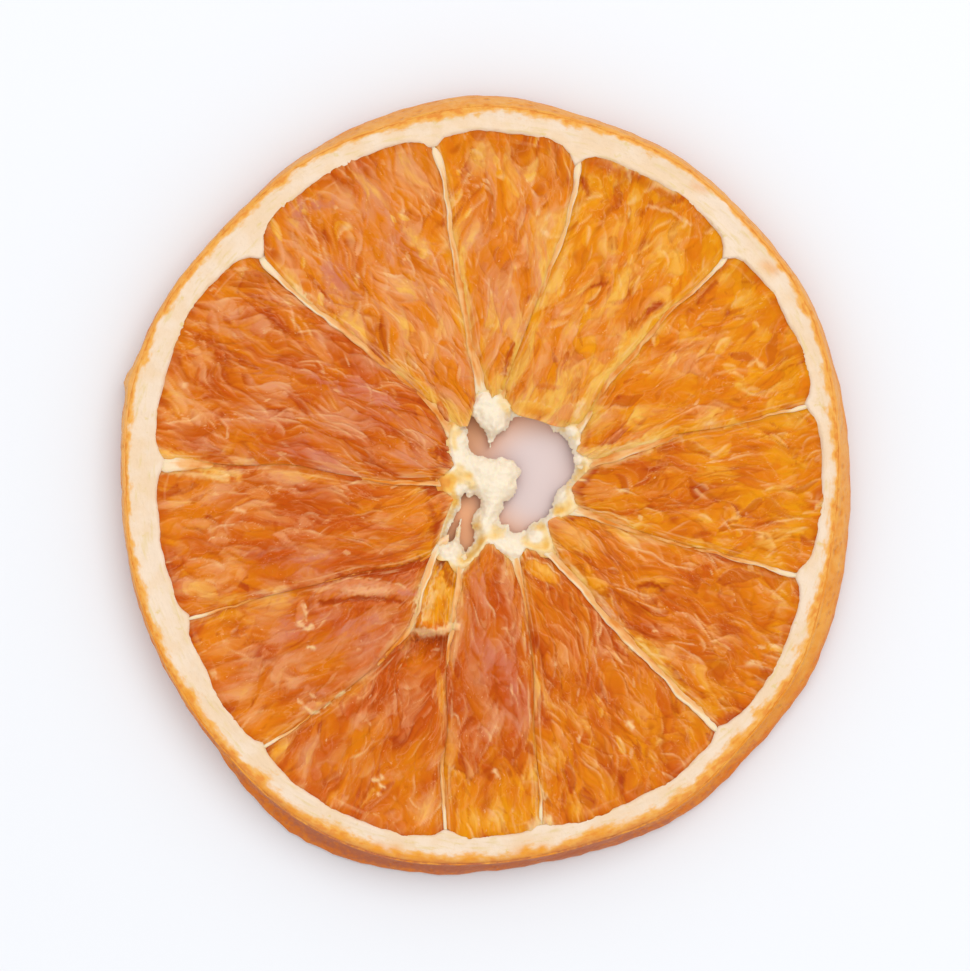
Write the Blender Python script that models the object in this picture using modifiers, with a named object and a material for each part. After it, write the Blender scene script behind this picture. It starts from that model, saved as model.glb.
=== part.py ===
"""A dried orange slice lying flat, cut face up.

The slice is one solid. It starts as a turned blank: a disc with a raised rim, twelve even segments and a
skin that bulges at the side. Every point of the blank is then moved to its place on the real slice, whose
outline, rind, segments and core are uneven, and the openings that drying tore in the core are cut through.
The underside has the form of the cut face, a little shallower.

Frame: metres, +Z up, the flat underside of the rim at Z 0, the middle of the slice's box on the Z axis.
Angles run anticlockwise from +X, seen from above, and each table starts there.
"""

import math

import bmesh
import bpy
from mathutils import Vector, noise

MM = 0.001
TURN = 2 * math.pi

NAME = "orange_slice"
SEGMENTS = 12
COLUMNS_PER_SEGMENT = 12

# Radii in millimetres from the slice's middle, at even steps around it.
SKIN_RADII = (
    31.4, 31.6, 32.1, 32.2, 32.7, 32.8, 33.5, 33.0, 32.4, 31.7, 32.0, 32.2,
    31.6, 31.8, 32.2, 32.9, 34.7, 34.6, 33.7, 33.3, 33.5, 32.7, 32.6, 31.8,
)  # fmt: skip
# How far the skin's side stands out beyond the edge of the cut face.
SIDE_FLARES = (
    0.80, 0.55, 0.40, 0.45, 0.45, 0.60, 0.90, 0.95, 0.50, 0.25, 0.25, 0.40,
    0.30, 0.30, 0.35, 0.50, 1.80, 1.60, 1.10, 1.15, 1.25, 1.05, 1.15, 1.15,
)  # fmt: skip
# Where the white pith ends and the pulp begins.
PITH_RADII = (
    28.8, 29.1, 29.4, 29.5, 29.7, 29.8, 30.3, 30.1, 29.7, 29.2, 29.3, 29.1,
    28.5, 28.5, 28.9, 29.8, 30.8, 31.0, 30.4, 30.1, 30.0, 29.6, 29.2, 28.6,
)  # fmt: skip
# Where the pulp ends and the pale core begins.
CORE_RADII = (
    7.6, 8.0, 8.1, 7.5, 6.8, 6.3, 6.7, 5.4, 4.6, 3.9, 3.6, 3.4,
    3.3, 3.3, 3.6, 4.8, 6.6, 6.4, 5.2, 5.4, 6.4, 6.9, 6.3, 6.9,
)  # fmt: skip

# Each membrane's angle in degrees at the pith, halfway and at the core.
MEMBRANES = (
    (13.7, 13.8, 10.5),
    (43.5, 41.2, 27.0),
    (75.0, 73.6, 77.0),
    (99.0, 98.0, 95.0),
    (135.2, 133.0, 125.0),
    (177.0, 176.0, 172.0),
    (204.5, 209.0, 231.0),
    (230.5, 238.0, 246.0),
    (263.0, 259.0, 256.0),
    (279.3, 282.3, 289.0),
    (312.9, 310.8, 312.0),
    (344.2, 343.2, 348.0),
)
MEMBRANE_STATIONS = (29.0, 18.0, 8.0)
MEMBRANE_HALF_WIDTH = 0.45

# Heights in millimetres above the table.
RIM_TOP = 4.3
RIM_WARP = 0.2
PITH_DIP = 0.12
PULP_TOP = 3.35
PULP_BOTTOM = 1.0
PULP_CROWN = 0.3
PULP_GROOVE = 0.25
MEMBRANE_RISE = 0.55
CORE_TOP = 3.2
CORE_BOTTOM = 1.2
CORE_LUMP = 0.5
RELIEF = 0.38
UNDERSIDE_STRENGTH = 0.6

# Juice sacs: how wide and how long the coarse and the fine ones are, in millimetres.
COARSE_SAC = (2.6, 7.0)
FINE_SAC = (1.5, 3.8)
FINE_SHARE = 0.6

# The pith spreads where a membrane meets it, and so does the core.
JOINT_REACH = 1.3
JOINT_WIDTH = 1.2

# The small shut pocket beside the core lies in this segment, inside this radius.
POCKET_SEGMENT = 7
POCKET_RADIUS = 13.4
POCKET_WALL_WIDTH = 0.9
POCKET_WALL_RISE = 0.8
POCKET_HOLLOW = 0.6

# The turned blank. Its radii stand for the uneven ones above.
BLANK_CORE = 5.5
BLANK_PITH = 29.5
BLANK_EDGE = 31.8
BLANK_SKIN = 32.5
PULP_ROWS_TOP = 15
PULP_ROWS_BOTTOM = 8

# The torn openings in the core, as corners in millimetres from the slice's middle.
MAIN_OPENING = (
    (0.9, 3.7), (1.7, 4.9), (3.0, 5.5), (5.0, 5.5), (6.3, 4.7), (7.3, 3.5),
    (7.7, 1.7), (7.3, -0.2), (6.5, -1.8), (5.3, -3.2), (3.8, -4.0), (2.4, -4.3),
    (1.4, -3.2), (1.7, -1.7), (2.6, -0.4), (2.7, 0.9), (1.9, 2.1), (1.0, 2.6),
)  # fmt: skip
SIDE_OPENING = (
    (-1.5, 4.6), (-0.6, 4.5), (0.0, 3.7), (0.0, 2.9), (-0.9, 2.4), (-1.6, 2.9),
)  # fmt: skip
SLOT_OPENING = (
    (-2.1, -1.2), (-0.7, -1.2), (-1.1, -3.0), (-1.2, -4.8), (-1.9, -5.5),
    (-2.3, -4.6), (-2.9, -4.7), (-3.2, -4.3), (-2.8, -2.6),
)  # fmt: skip
CUTTER_REACH = 8.0
MERGE = 0.00001

FLESH_COLOUR = (0.68, 0.23, 0.035, 1)
FLESH_ROUGHNESS = 0.45


def smooth(t):
    """An even rise from 0 to 1 as t goes from 0 to 1."""
    t = min(max(t, 0.0), 1.0)
    return t * t * (3 - 2 * t)


def around(values, angle):
    """A value at an angle, on the smooth closed curve through evenly spaced values."""
    place = (angle / TURN % 1) * len(values)
    first = int(place)
    t = place - first
    before, a, b, after = (values[(first + k) % len(values)] for k in (-1, 0, 1, 2))
    bend = (after - before + 3 * (a - b)) * t + 2 * before - 5 * a + 4 * b - after
    return a + 0.5 * t * (b - before + t * bend)


def membrane_angle(index, radius):
    """The angle in radians at which membrane `index` crosses a radius in millimetres."""
    lap, index = divmod(index, SEGMENTS)
    pith, halfway, core = MEMBRANES[index]
    outer, middle, inner = MEMBRANE_STATIONS
    if radius > middle:
        degrees = halfway + (pith - halfway) * (radius - middle) / (outer - middle)
    else:
        degrees = halfway + (core - halfway) * (middle - max(radius, inner / 2)) / (middle - inner)
    return math.radians(degrees) + lap * TURN


def blank_profile():
    """The blank's half section: from the axis over the top, down the side and back under to the axis."""
    top_step = (BLANK_PITH - BLANK_CORE) / (PULP_ROWS_TOP - 1)
    bottom_step = (BLANK_PITH - BLANK_CORE) / (PULP_ROWS_BOTTOM - 1)
    core_top = [(0, CORE_TOP), (BLANK_CORE * 0.35, CORE_TOP), (BLANK_CORE * 0.7, CORE_TOP)]
    top = [(BLANK_CORE + row * top_step, PULP_TOP) for row in range(PULP_ROWS_TOP)]
    rim = [
        (BLANK_PITH + 0.15, RIM_TOP - 0.4),
        (BLANK_PITH + 0.5, RIM_TOP - 0.05),
        ((BLANK_PITH + BLANK_EDGE) / 2, RIM_TOP - PITH_DIP),
        (BLANK_EDGE - 0.2, RIM_TOP),
        (BLANK_EDGE + 0.1, RIM_TOP * 0.96),
        (BLANK_EDGE + 0.5, RIM_TOP * 0.78),
        (BLANK_SKIN, RIM_TOP * 0.42),
        (BLANK_EDGE + 0.4, RIM_TOP * 0.12),
        (BLANK_EDGE - 0.1, 0),
        (BLANK_PITH + 0.5, 0),
    ]
    bottom = [(BLANK_PITH - row * bottom_step, PULP_BOTTOM) for row in range(PULP_ROWS_BOTTOM)]
    core_bottom = [(BLANK_CORE * 0.6, CORE_BOTTOM), (0, CORE_BOTTOM)]
    return core_top + top + rim + bottom + core_bottom


def turned_blank():
    """The blank as a mesh: its half section turned about Z by a Screw modifier."""
    profile = bpy.data.meshes.new("blank_section")
    points = [(radius * MM, 0, height * MM) for radius, height in blank_profile()]
    profile.from_pydata(points, [(i, i + 1) for i in range(len(points) - 1)], [])
    section = bpy.data.objects.new("blank_section", profile)
    bpy.context.scene.collection.objects.link(section)
    screw = section.modifiers.new("turn", "SCREW")
    screw.steps = screw.render_steps = SEGMENTS * COLUMNS_PER_SEGMENT
    screw.use_merge_vertices = True
    screw.merge_threshold = MERGE
    graph = bpy.context.evaluated_depsgraph_get()
    mesh = bpy.data.meshes.new_from_object(section.evaluated_get(graph))
    bpy.data.objects.remove(section)
    return mesh


def local_radius(radius, angle, joint):
    """The slice's own radius for a radius of the blank. joint is 1 on a membrane and 0 away from it."""
    core = around(CORE_RADII, angle) + 0.5 * JOINT_REACH * joint
    pith = around(PITH_RADII, angle) - JOINT_REACH * joint
    skin = around(SKIN_RADII, angle)
    edge = skin - around(SIDE_FLARES, angle)
    stops = ((0, 0), (BLANK_CORE, core), (BLANK_PITH, pith), (BLANK_EDGE, edge), (BLANK_SKIN, skin))
    for (low, own_low), (high, own_high) in zip(stops, stops[1:]):
        if radius <= high:
            return own_low + (own_high - own_low) * (radius - low) / (high - low)
    return skin


def place_in_segment(blank_angle):
    """The segment that a blank angle lies in, and how far across it from 0 to 1."""
    across = blank_angle / TURN % 1 * SEGMENTS
    segment = min(int(across + 1e-4), SEGMENTS - 1)
    return segment, max(across - segment, 0.0)


def segment_span(segment, radius):
    """The angle at which a segment starts, and its width in radians, at a radius."""
    start = membrane_angle(segment, radius)
    return start, membrane_angle(segment + 1, radius) - start


def local_angle(segment, across, radius):
    """The angle on the slice, so that the columns beside a membrane lie close to it."""
    start, width = segment_span(segment, radius)
    foot = min(MEMBRANE_HALF_WIDTH / max(radius * width, 0.1), 0.3)
    column = 1 / COLUMNS_PER_SEGMENT
    if across < column:
        share = foot * across / column
    elif across > 1 - column:
        share = 1 - foot * (1 - across) / column
    else:
        share = foot + (1 - 2 * foot) * (across - column) / (1 - 2 * column)
    return start + width * share


def own_place(segment, across, radius):
    """The slice's own radius and angle for a place on the blank."""
    angle = local_angle(segment, across, radius)
    start, width = segment_span(segment, radius)
    off_membrane = min(angle - start, start + width - angle) * max(radius, BLANK_CORE)
    joint = math.exp(-((off_membrane / JOINT_WIDTH) ** 2))
    own = local_radius(radius, angle, joint)
    # Membranes are stated against the slice's own radius, so the angle is taken there.
    return own, local_angle(segment, across, own)


def sacs(segment, sideways, radius, side, size):
    """Lumps drawn out towards the core, between -1 and 1, as dried juice sacs of one size."""
    wide, long = size
    return noise.noise(Vector((sideways / wide + segment * 7.3, radius / long, side * 9.1 + wide)))


def pocket_relief(segment, radius):
    """How far the surface drops in the small pocket, and rises at the wall round it."""
    if segment != POCKET_SEGMENT:
        return 0
    outward = radius - POCKET_RADIUS
    wall = math.exp(-((outward / POCKET_WALL_WIDTH) ** 2))
    hollow = 1 - smooth((outward - 2 * POCKET_WALL_WIDTH) / 2)
    return POCKET_WALL_RISE * wall - POCKET_HOLLOW * hollow


def pulp_height(segment, across, radius, angle, share, side):
    """The pulp's height: crowned in each segment and ridged at its membranes. side is 1 on top, -1 below."""
    start, width = segment_span(segment, radius)
    sideways = (angle - start - width / 2) * radius
    relief = sacs(segment, sideways, radius, side, COARSE_SAC)
    relief += FINE_SHARE * sacs(segment, sideways, radius, side, FINE_SAC)
    crown = PULP_CROWN * math.sin(math.pi * across) * math.sin(math.pi * min(share + 0.2, 1))
    off_ridge = smooth(min(across, 1 - across) * COLUMNS_PER_SEGMENT)
    ridge = MEMBRANE_RISE * (0.6 + 0.6 * share) * (1 - off_ridge)
    rise = crown + 2 * RELIEF * relief * off_ridge + ridge - PULP_GROOVE * smooth(share * 12 - 11)
    if side > 0:
        return PULP_TOP + rise + pocket_relief(segment, radius) * off_ridge
    return PULP_BOTTOM - rise * UNDERSIDE_STRENGTH


def rim_warp(angle):
    """How far drying has lifted or dropped the rim's top at an angle."""
    return RIM_WARP * (math.cos(angle - 1.1) + 0.6 * math.cos(3 * angle + 0.4))


def sculpted(point):
    """The place on the slice of a point of the blank, in metres."""
    radius = math.hypot(point.x, point.y) / MM
    height = point.z / MM
    segment, across = place_in_segment(math.atan2(point.y, point.x))
    own, angle = own_place(segment, across, radius)
    x = own * math.cos(angle)
    y = own * math.sin(angle)
    slack = 0.05
    if BLANK_CORE - slack < radius < BLANK_PITH + slack:
        share = (radius - BLANK_CORE) / (BLANK_PITH - BLANK_CORE)
        side = 1 if height > (PULP_TOP + PULP_BOTTOM) / 2 else -1
        height = pulp_height(segment, across, own, angle, share, side)
    elif radius < BLANK_CORE:
        height += CORE_LUMP * noise.noise(Vector((x * 0.7, y * 0.7, height)))
    elif height > 0:
        height += rim_warp(angle) * height / RIM_TOP
    return Vector((x, y, height)) * MM


def opening_cutter(name, corners, collection):
    """A prism through the slice over a smooth closed outline, as a mesh."""
    curve = bpy.data.curves.new(name, "CURVE")
    curve.dimensions = "2D"
    curve.fill_mode = "BOTH"
    curve.extrude = CUTTER_REACH * MM
    curve.resolution_u = 2
    spline = curve.splines.new("BEZIER")
    spline.bezier_points.add(len(corners) - 1)
    for point, (x, y) in zip(spline.bezier_points, corners):
        point.co = (x * MM, y * MM, 0)
        point.handle_left_type = point.handle_right_type = "AUTO"
    spline.use_cyclic_u = True
    drawn = bpy.data.objects.new(name, curve)
    collection.objects.link(drawn)
    graph = bpy.context.evaluated_depsgraph_get()
    mesh = bpy.data.meshes.new_from_object(drawn.evaluated_get(graph))
    bpy.data.objects.remove(drawn)
    tidy = bmesh.new()
    tidy.from_mesh(mesh)
    bmesh.ops.remove_doubles(tidy, verts=tidy.verts, dist=MERGE)
    bmesh.ops.recalc_face_normals(tidy, faces=tidy.faces)
    tidy.to_mesh(mesh)
    tidy.free()
    cutter = bpy.data.objects.new(name, mesh)
    cutter.hide_render = True
    cutter.display_type = "WIRE"
    collection.objects.link(cutter)
    return cutter


def dried_flesh_material():
    """The amber of dried pulp, for the whole slice."""
    material = bpy.data.materials.new("dried_orange")
    material.use_nodes = True
    shader = material.node_tree.nodes["Principled BSDF"]
    shader.inputs["Base Color"].default_value = FLESH_COLOUR
    shader.inputs["Roughness"].default_value = FLESH_ROUGHNESS
    shader.inputs["Metallic"].default_value = 0
    return material


def box_middle(mesh):
    """The middle of a mesh's box in X and Y."""
    xs = [vertex.co.x for vertex in mesh.vertices]
    ys = [vertex.co.y for vertex in mesh.vertices]
    return Vector(((min(xs) + max(xs)) / 2, (min(ys) + max(ys)) / 2, 0))


def build_slice():
    """The slice with its core opened, the middle of its box over the origin."""
    parts = bpy.data.collections.new("dried_orange_slice")
    cutters = bpy.data.collections.new("cutters")
    for collection in (parts, cutters):
        bpy.context.scene.collection.children.link(collection)

    mesh = turned_blank()
    mesh.name = NAME
    for vertex in mesh.vertices:
        vertex.co = sculpted(vertex.co)
    middle = box_middle(mesh)
    for vertex in mesh.vertices:
        vertex.co -= middle
    mesh.materials.append(dried_flesh_material())
    mesh.shade_smooth()
    body = bpy.data.objects.new(NAME, mesh)
    parts.objects.link(body)

    openings = {"main_opening": MAIN_OPENING, "side_opening": SIDE_OPENING, "slot_opening": SLOT_OPENING}
    for name, corners in openings.items():
        cutter = opening_cutter(name, corners, cutters)
        cutter.location = -middle
        cut = body.modifiers.new(name, "BOOLEAN")
        cut.operation = "DIFFERENCE"
        cut.object = cutter


for leftover in list(bpy.data.objects):
    bpy.data.objects.remove(leftover)
build_slice()
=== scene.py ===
"""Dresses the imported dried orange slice: rind, pith, membranes, juice sacs and torn core.

Shapes are worked out in millimetres in the slice's own frame, whose middle is the middle of the camera's
view of it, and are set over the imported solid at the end. Angles run anticlockwise from +X.
"""

import logging
import math
from collections.abc import Sequence
from dataclasses import dataclass, field
from enum import Enum

import bpy
import numpy as np
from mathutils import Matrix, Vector


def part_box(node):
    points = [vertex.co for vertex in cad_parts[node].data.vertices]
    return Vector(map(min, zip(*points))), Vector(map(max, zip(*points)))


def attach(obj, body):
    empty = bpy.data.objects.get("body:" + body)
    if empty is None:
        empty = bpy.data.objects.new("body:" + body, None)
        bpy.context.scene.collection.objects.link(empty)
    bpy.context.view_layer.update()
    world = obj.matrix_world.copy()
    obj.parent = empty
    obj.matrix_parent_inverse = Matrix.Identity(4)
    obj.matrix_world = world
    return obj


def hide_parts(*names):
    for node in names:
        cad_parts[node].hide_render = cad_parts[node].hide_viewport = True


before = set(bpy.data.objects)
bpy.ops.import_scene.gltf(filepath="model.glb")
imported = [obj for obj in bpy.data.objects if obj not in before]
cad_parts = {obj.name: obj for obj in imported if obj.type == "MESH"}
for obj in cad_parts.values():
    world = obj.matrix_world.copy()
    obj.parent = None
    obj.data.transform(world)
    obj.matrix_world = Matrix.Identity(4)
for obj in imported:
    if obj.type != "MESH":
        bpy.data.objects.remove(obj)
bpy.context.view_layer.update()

LOG = logging.getLogger("orange_slice")
NODE = "orange_slice"
MM = 0.001
TURN = 2 * math.pi
FAR = 1e9
MASK32 = 0xFFFFFFFF
HASH_COLUMN = 374761393
HASH_ROW = 668265263
HASH_SEED = 362437
HASH_STIR = 1274126177

# Each pattern has a seed of its own, counted on from these.
PITH_SEED = 500
RIND_SEED = 600
CORE_SEED = 700
STRAY_SEED = 950
WALL_SEED = 3000

Field = np.ndarray
Linear = tuple[float, float, float, float]
Socket = bpy.types.NodeSocket
Piece = bpy.types.Object
Material = bpy.types.Material


class Slot(Enum):
    """The record's material slots."""

    PULP = "pulp"
    PITH = "pith"
    RIND = "rind"


class Face(Enum):
    """A side of a sheet, and the way along Z that it faces."""

    UPPER = 1
    UNDER = -1


def shade(red: int, green: int, blue: int, light: float = 1.27) -> Linear:
    """The linear colour of a display colour, divided by the light that falls on it.

    Args:
        red: Red from 0 to 255, as seen.
        green: Green from 0 to 255, as seen.
        blue: Blue from 0 to 255, as seen.
        light: How bright the light is on a surface of this colour.

    Returns:
        Linear red, green, blue and an alpha of 1.
    """
    seen = [value / 255 for value in (red, green, blue)]
    linear = [v / 12.92 if v <= 0.04045 else ((v + 0.055) / 1.055) ** 2.4 for v in seen]
    return (linear[0] / light, linear[1] / light, linear[2] / light, 1.0)


def smooth(t: Field | float) -> Field:
    """An even rise from 0 to 1 as t goes from 0 to 1."""
    t = np.clip(t, 0.0, 1.0)
    return t * t * (3 - 2 * t)


def bell(distance: Field, width: float | Field) -> Field:
    """1 at a distance of 0, falling evenly to nothing at about twice the width."""
    return np.exp(-((distance / width) ** 2))


def spline(before: Field, a: Field, b: Field, after: Field, t: Field) -> Field:
    """The smooth curve from a to b as t goes from 0 to 1, with the values beyond both ends given."""
    bend = (after - before + 3 * (a - b)) * t + 2 * before - 5 * a + 4 * b - after
    return a + 0.5 * t * (b - before + t * bend)


def cell_hash(column: Field, row: Field, seed: int) -> Field:
    """A steady random number for each cell of a lattice.

    Args:
        column: The cells' columns.
        row: The cells' rows.
        seed: Picks one of many unlike lattices.

    Returns:
        A number from 0 to 1 for each cell.
    """
    n = column.astype(np.int64) * HASH_COLUMN + row.astype(np.int64) * HASH_ROW + seed * HASH_SEED
    n = n & MASK32
    n = ((n ^ (n >> 13)) * HASH_STIR) & MASK32
    return ((n ^ (n >> 16)) & MASK32) / MASK32


def noise(x: Field, y: Field, seed: int) -> Field:
    """Smooth noise from about -1 to 1, with features about 1 across.

    Args:
        x: Places along one axis.
        y: Places along the other.
        seed: Picks one of many unlike patterns.

    Returns:
        The noise at each place.
    """
    column, row = np.floor(x), np.floor(y)
    dx, dy = x - column, y - row
    ease_x = dx**3 * (dx * (dx * 6 - 15) + 10)
    ease_y = dy**3 * (dy * (dy * 6 - 15) + 10)

    def corner(i: int, j: int) -> Field:
        """The slope planted at one corner of the cell, carried to the place."""
        turn = TURN * cell_hash(column + i, row + j, seed)
        return np.cos(turn) * (dx - i) + np.sin(turn) * (dy - j)

    low = corner(0, 0) + ease_x * (corner(1, 0) - corner(0, 0))
    high = corner(0, 1) + ease_x * (corner(1, 1) - corner(0, 1))
    return 1.5 * (low + ease_y * (high - low))


def wave(x: Field, seed: int, row: float = 0.0) -> Field:
    """Smooth noise along a line, with features about 1 long."""
    return noise(x, np.full(x.shape, row), seed)


def mottle(x: Field, y: Field, size: float, seed: int) -> Field:
    """Smooth noise from about -1 to 1, with features of that size."""
    return noise(x / size, y / size, seed)


def stray(x: Field, y: Field, *ways: tuple[float, float, int]) -> tuple[Field, Field]:
    """Lets places stray to and fro.

    Args:
        x: Places in millimetres.
        y: Places in millimetres.
        *ways: How far they stray, over what size, and the first of two seeds.

    Returns:
        The places that they have strayed to.
    """
    moved_x, moved_y = x, y
    for far, size, seed in ways:
        moved_x = moved_x + far * mottle(x, y, size, seed)
        moved_y = moved_y + far * mottle(x, y, size, seed + 1)
    return moved_x, moved_y


@dataclass(frozen=True)
class Cells:
    """What a pattern of packed cells says at each place.

    Attributes:
        gap: How much further the next cell's seed is than the own one's: 0 on a border.
        pick: A random number from 0 to 1 that belongs to the cell.
        off_x: How far the place lies from its seed along the first axis.
        off_y: How far it lies along the second.
    """

    gap: Field
    pick: Field
    off_x: Field
    off_y: Field


def packed_cells(x: Field, y: Field, seed: int, jitter: float = 0.85) -> Cells:
    """Cells about 1 across, packed side by side round scattered seeds.

    Args:
        x: Places along one axis.
        y: Places along the other.
        seed: Picks one of many unlike patterns.
        jitter: How far the seeds stray from an even lattice.

    Returns:
        The pattern at each place.
    """
    column, row = np.floor(x), np.floor(y)
    nearest = np.full(x.shape, FAR)
    second = np.full(x.shape, FAR)
    pick = np.zeros(x.shape)
    off_x = np.zeros(x.shape)
    off_y = np.zeros(x.shape)
    for i in (-1, 0, 1):
        for j in (-1, 0, 1):
            seed_x = column + i + 0.5 + jitter * (cell_hash(column + i, row + j, seed) - 0.5)
            seed_y = row + j + 0.5 + jitter * (cell_hash(column + i, row + j, seed + 1) - 0.5)
            distance = np.hypot(x - seed_x, y - seed_y)
            closer = distance < nearest
            second = np.where(closer, nearest, np.minimum(second, distance))
            pick = np.where(closer, cell_hash(column + i, row + j, seed + 2), pick)
            off_x = np.where(closer, x - seed_x, off_x)
            off_y = np.where(closer, y - seed_y, off_y)
            nearest = np.minimum(nearest, distance)
    return Cells(second - nearest, pick, off_x, off_y)


@dataclass(frozen=True)
class Flakes:
    """What a pattern of overlapping pointed flakes says at each place.

    Attributes:
        cover: 1 on a flake, falling to 0 at its outline.
        depth: How far inside the outline the place lies, in millimetres.
        side: How far across the flake, from -1 to 1.
        rank: Which flake lies on top, from 0 to 1.
        pick: A random number from 0 to 1 that belongs to the flake.
    """

    cover: Field
    depth: Field
    side: Field
    rank: Field
    pick: Field

    def sway(self, turn: float) -> Field:
        """A number from -0.5 to 0.5 that belongs to the flake, another one for each turn."""
        return (np.mod(self.pick * turn, 1.0) - 0.5) * self.cover


@dataclass(frozen=True)
class FlakeLayer:
    """Flakes of one size, strewn over each other and drawn out along the grain.

    Attributes:
        gap: How far apart they are strewn across and along the grain, in millimetres.
        size: Half their width and half their length.
        tilt: The most that one is turned, in radians.
        seed: What the layer adds to the seed of what it covers.
        rise: How far a flake stands up, in millimetres.
        stray: How far flakes stray from an even lattice, in gaps.
        least: The smallest flake, as a share of the size.
        spread: How much larger the largest one is.
        edge: How wide the rise at a flake's outline is, in millimetres.
    """

    gap: tuple[float, float]
    size: tuple[float, float]
    tilt: float
    seed: int
    rise: float = 0.0
    stray: float = 0.8
    least: float = 0.6
    spread: float = 0.7
    edge: float = 0.13

    def strewn(self, across: Field, along: Field, seed: int) -> Flakes:
        """The pattern of flakes.

        Args:
            across: Places across the grain, in millimetres.
            along: Places along it.
            seed: Picks one of many unlike patterns.

        Returns:
            The pattern at each place.
        """
        column, row = np.floor(across / self.gap[0]), np.floor(along / self.gap[1])
        rank = np.zeros(across.shape)
        depth = np.zeros(across.shape)
        side = np.zeros(across.shape)
        pick = np.full(across.shape, 0.5)
        for i in (-1, 0, 1):
            for j in (-1, 0, 1):
                turn, stray_x, stray_y, grown, level, chance = (
                    cell_hash(column + i, row + j, seed + self.seed + part) for part in range(6)
                )
                turn = self.tilt * (2 * turn - 1)
                off_x = across - (column + i + 0.5 + self.stray * (stray_x - 0.5)) * self.gap[0]
                off_y = along - (row + j + 0.5 + self.stray * (stray_y - 0.5)) * self.gap[1]
                grown = self.least + self.spread * grown
                lengthways = (off_y * np.cos(turn) + off_x * np.sin(turn)) / (self.size[1] * grown)
                sideways = (off_x * np.cos(turn) - off_y * np.sin(turn)) / (self.size[0] * grown)
                inside = 1 - lengthways**2 - np.abs(sideways)
                on_top = (inside > 0) & (level > rank)
                rank = np.where(on_top, level, rank)
                depth = np.where(on_top, inside * self.size[0] * grown, depth)
                side = np.where(on_top, sideways, side)
                pick = np.where(on_top, chance, pick)
        return Flakes(smooth(depth / self.edge), depth, np.clip(side, -1, 1), rank, pick)


SKIN_LAYERS = (
    FlakeLayer((1.7, 4.2), (1.05, 3.3), tilt=0.50, seed=30, rise=0.045),
    FlakeLayer((0.80, 2.0), (0.46, 1.60), tilt=0.70, seed=40, rise=0.028),
    FlakeLayer((0.44, 0.95), (0.24, 0.72), tilt=1.10, seed=50, rise=0.012),
)
BEAD_LAYER = FlakeLayer((1.5, 2.2), (0.42, 0.80), tilt=0.9, seed=60)


# -------------------- The slice's form --------------------


@dataclass(frozen=True)
class View:
    """How the camera's view of 970 by 971 pixels lies over the slice."""

    middle_x_px: float = 487.0
    middle_y_px: float = 483.0
    width_px: int = 970
    height_px: int = 971
    mm_per_px: float = 0.0861

    def place(self, x_px: float, y_px: float) -> tuple[float, float]:
        """The x and y in millimetres, in the slice's own frame, of a pixel of the view."""
        return (x_px - self.middle_x_px) * self.mm_per_px, (self.middle_y_px - y_px) * self.mm_per_px


VIEW = View()


@dataclass(frozen=True)
class Membrane:
    """A wall between two segments, measured 29, 25, 21, 17, 13 and 9 mm from the middle.

    Attributes:
        angles: Its angle in degrees.
        widths: Half its width in millimetres.
        pale: How white it has dried, from 0 to 1.
        joint: How far the pith spreads along it and how far to either side, in millimetres.
        lean: Which side stands up crisp and pale: 1 for the anticlockwise side, -1 for the other.
    """

    angles: tuple[float, ...]
    widths: tuple[float, ...]
    pale: tuple[float, ...]
    joint: tuple[float, float]
    lean: float


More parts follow.
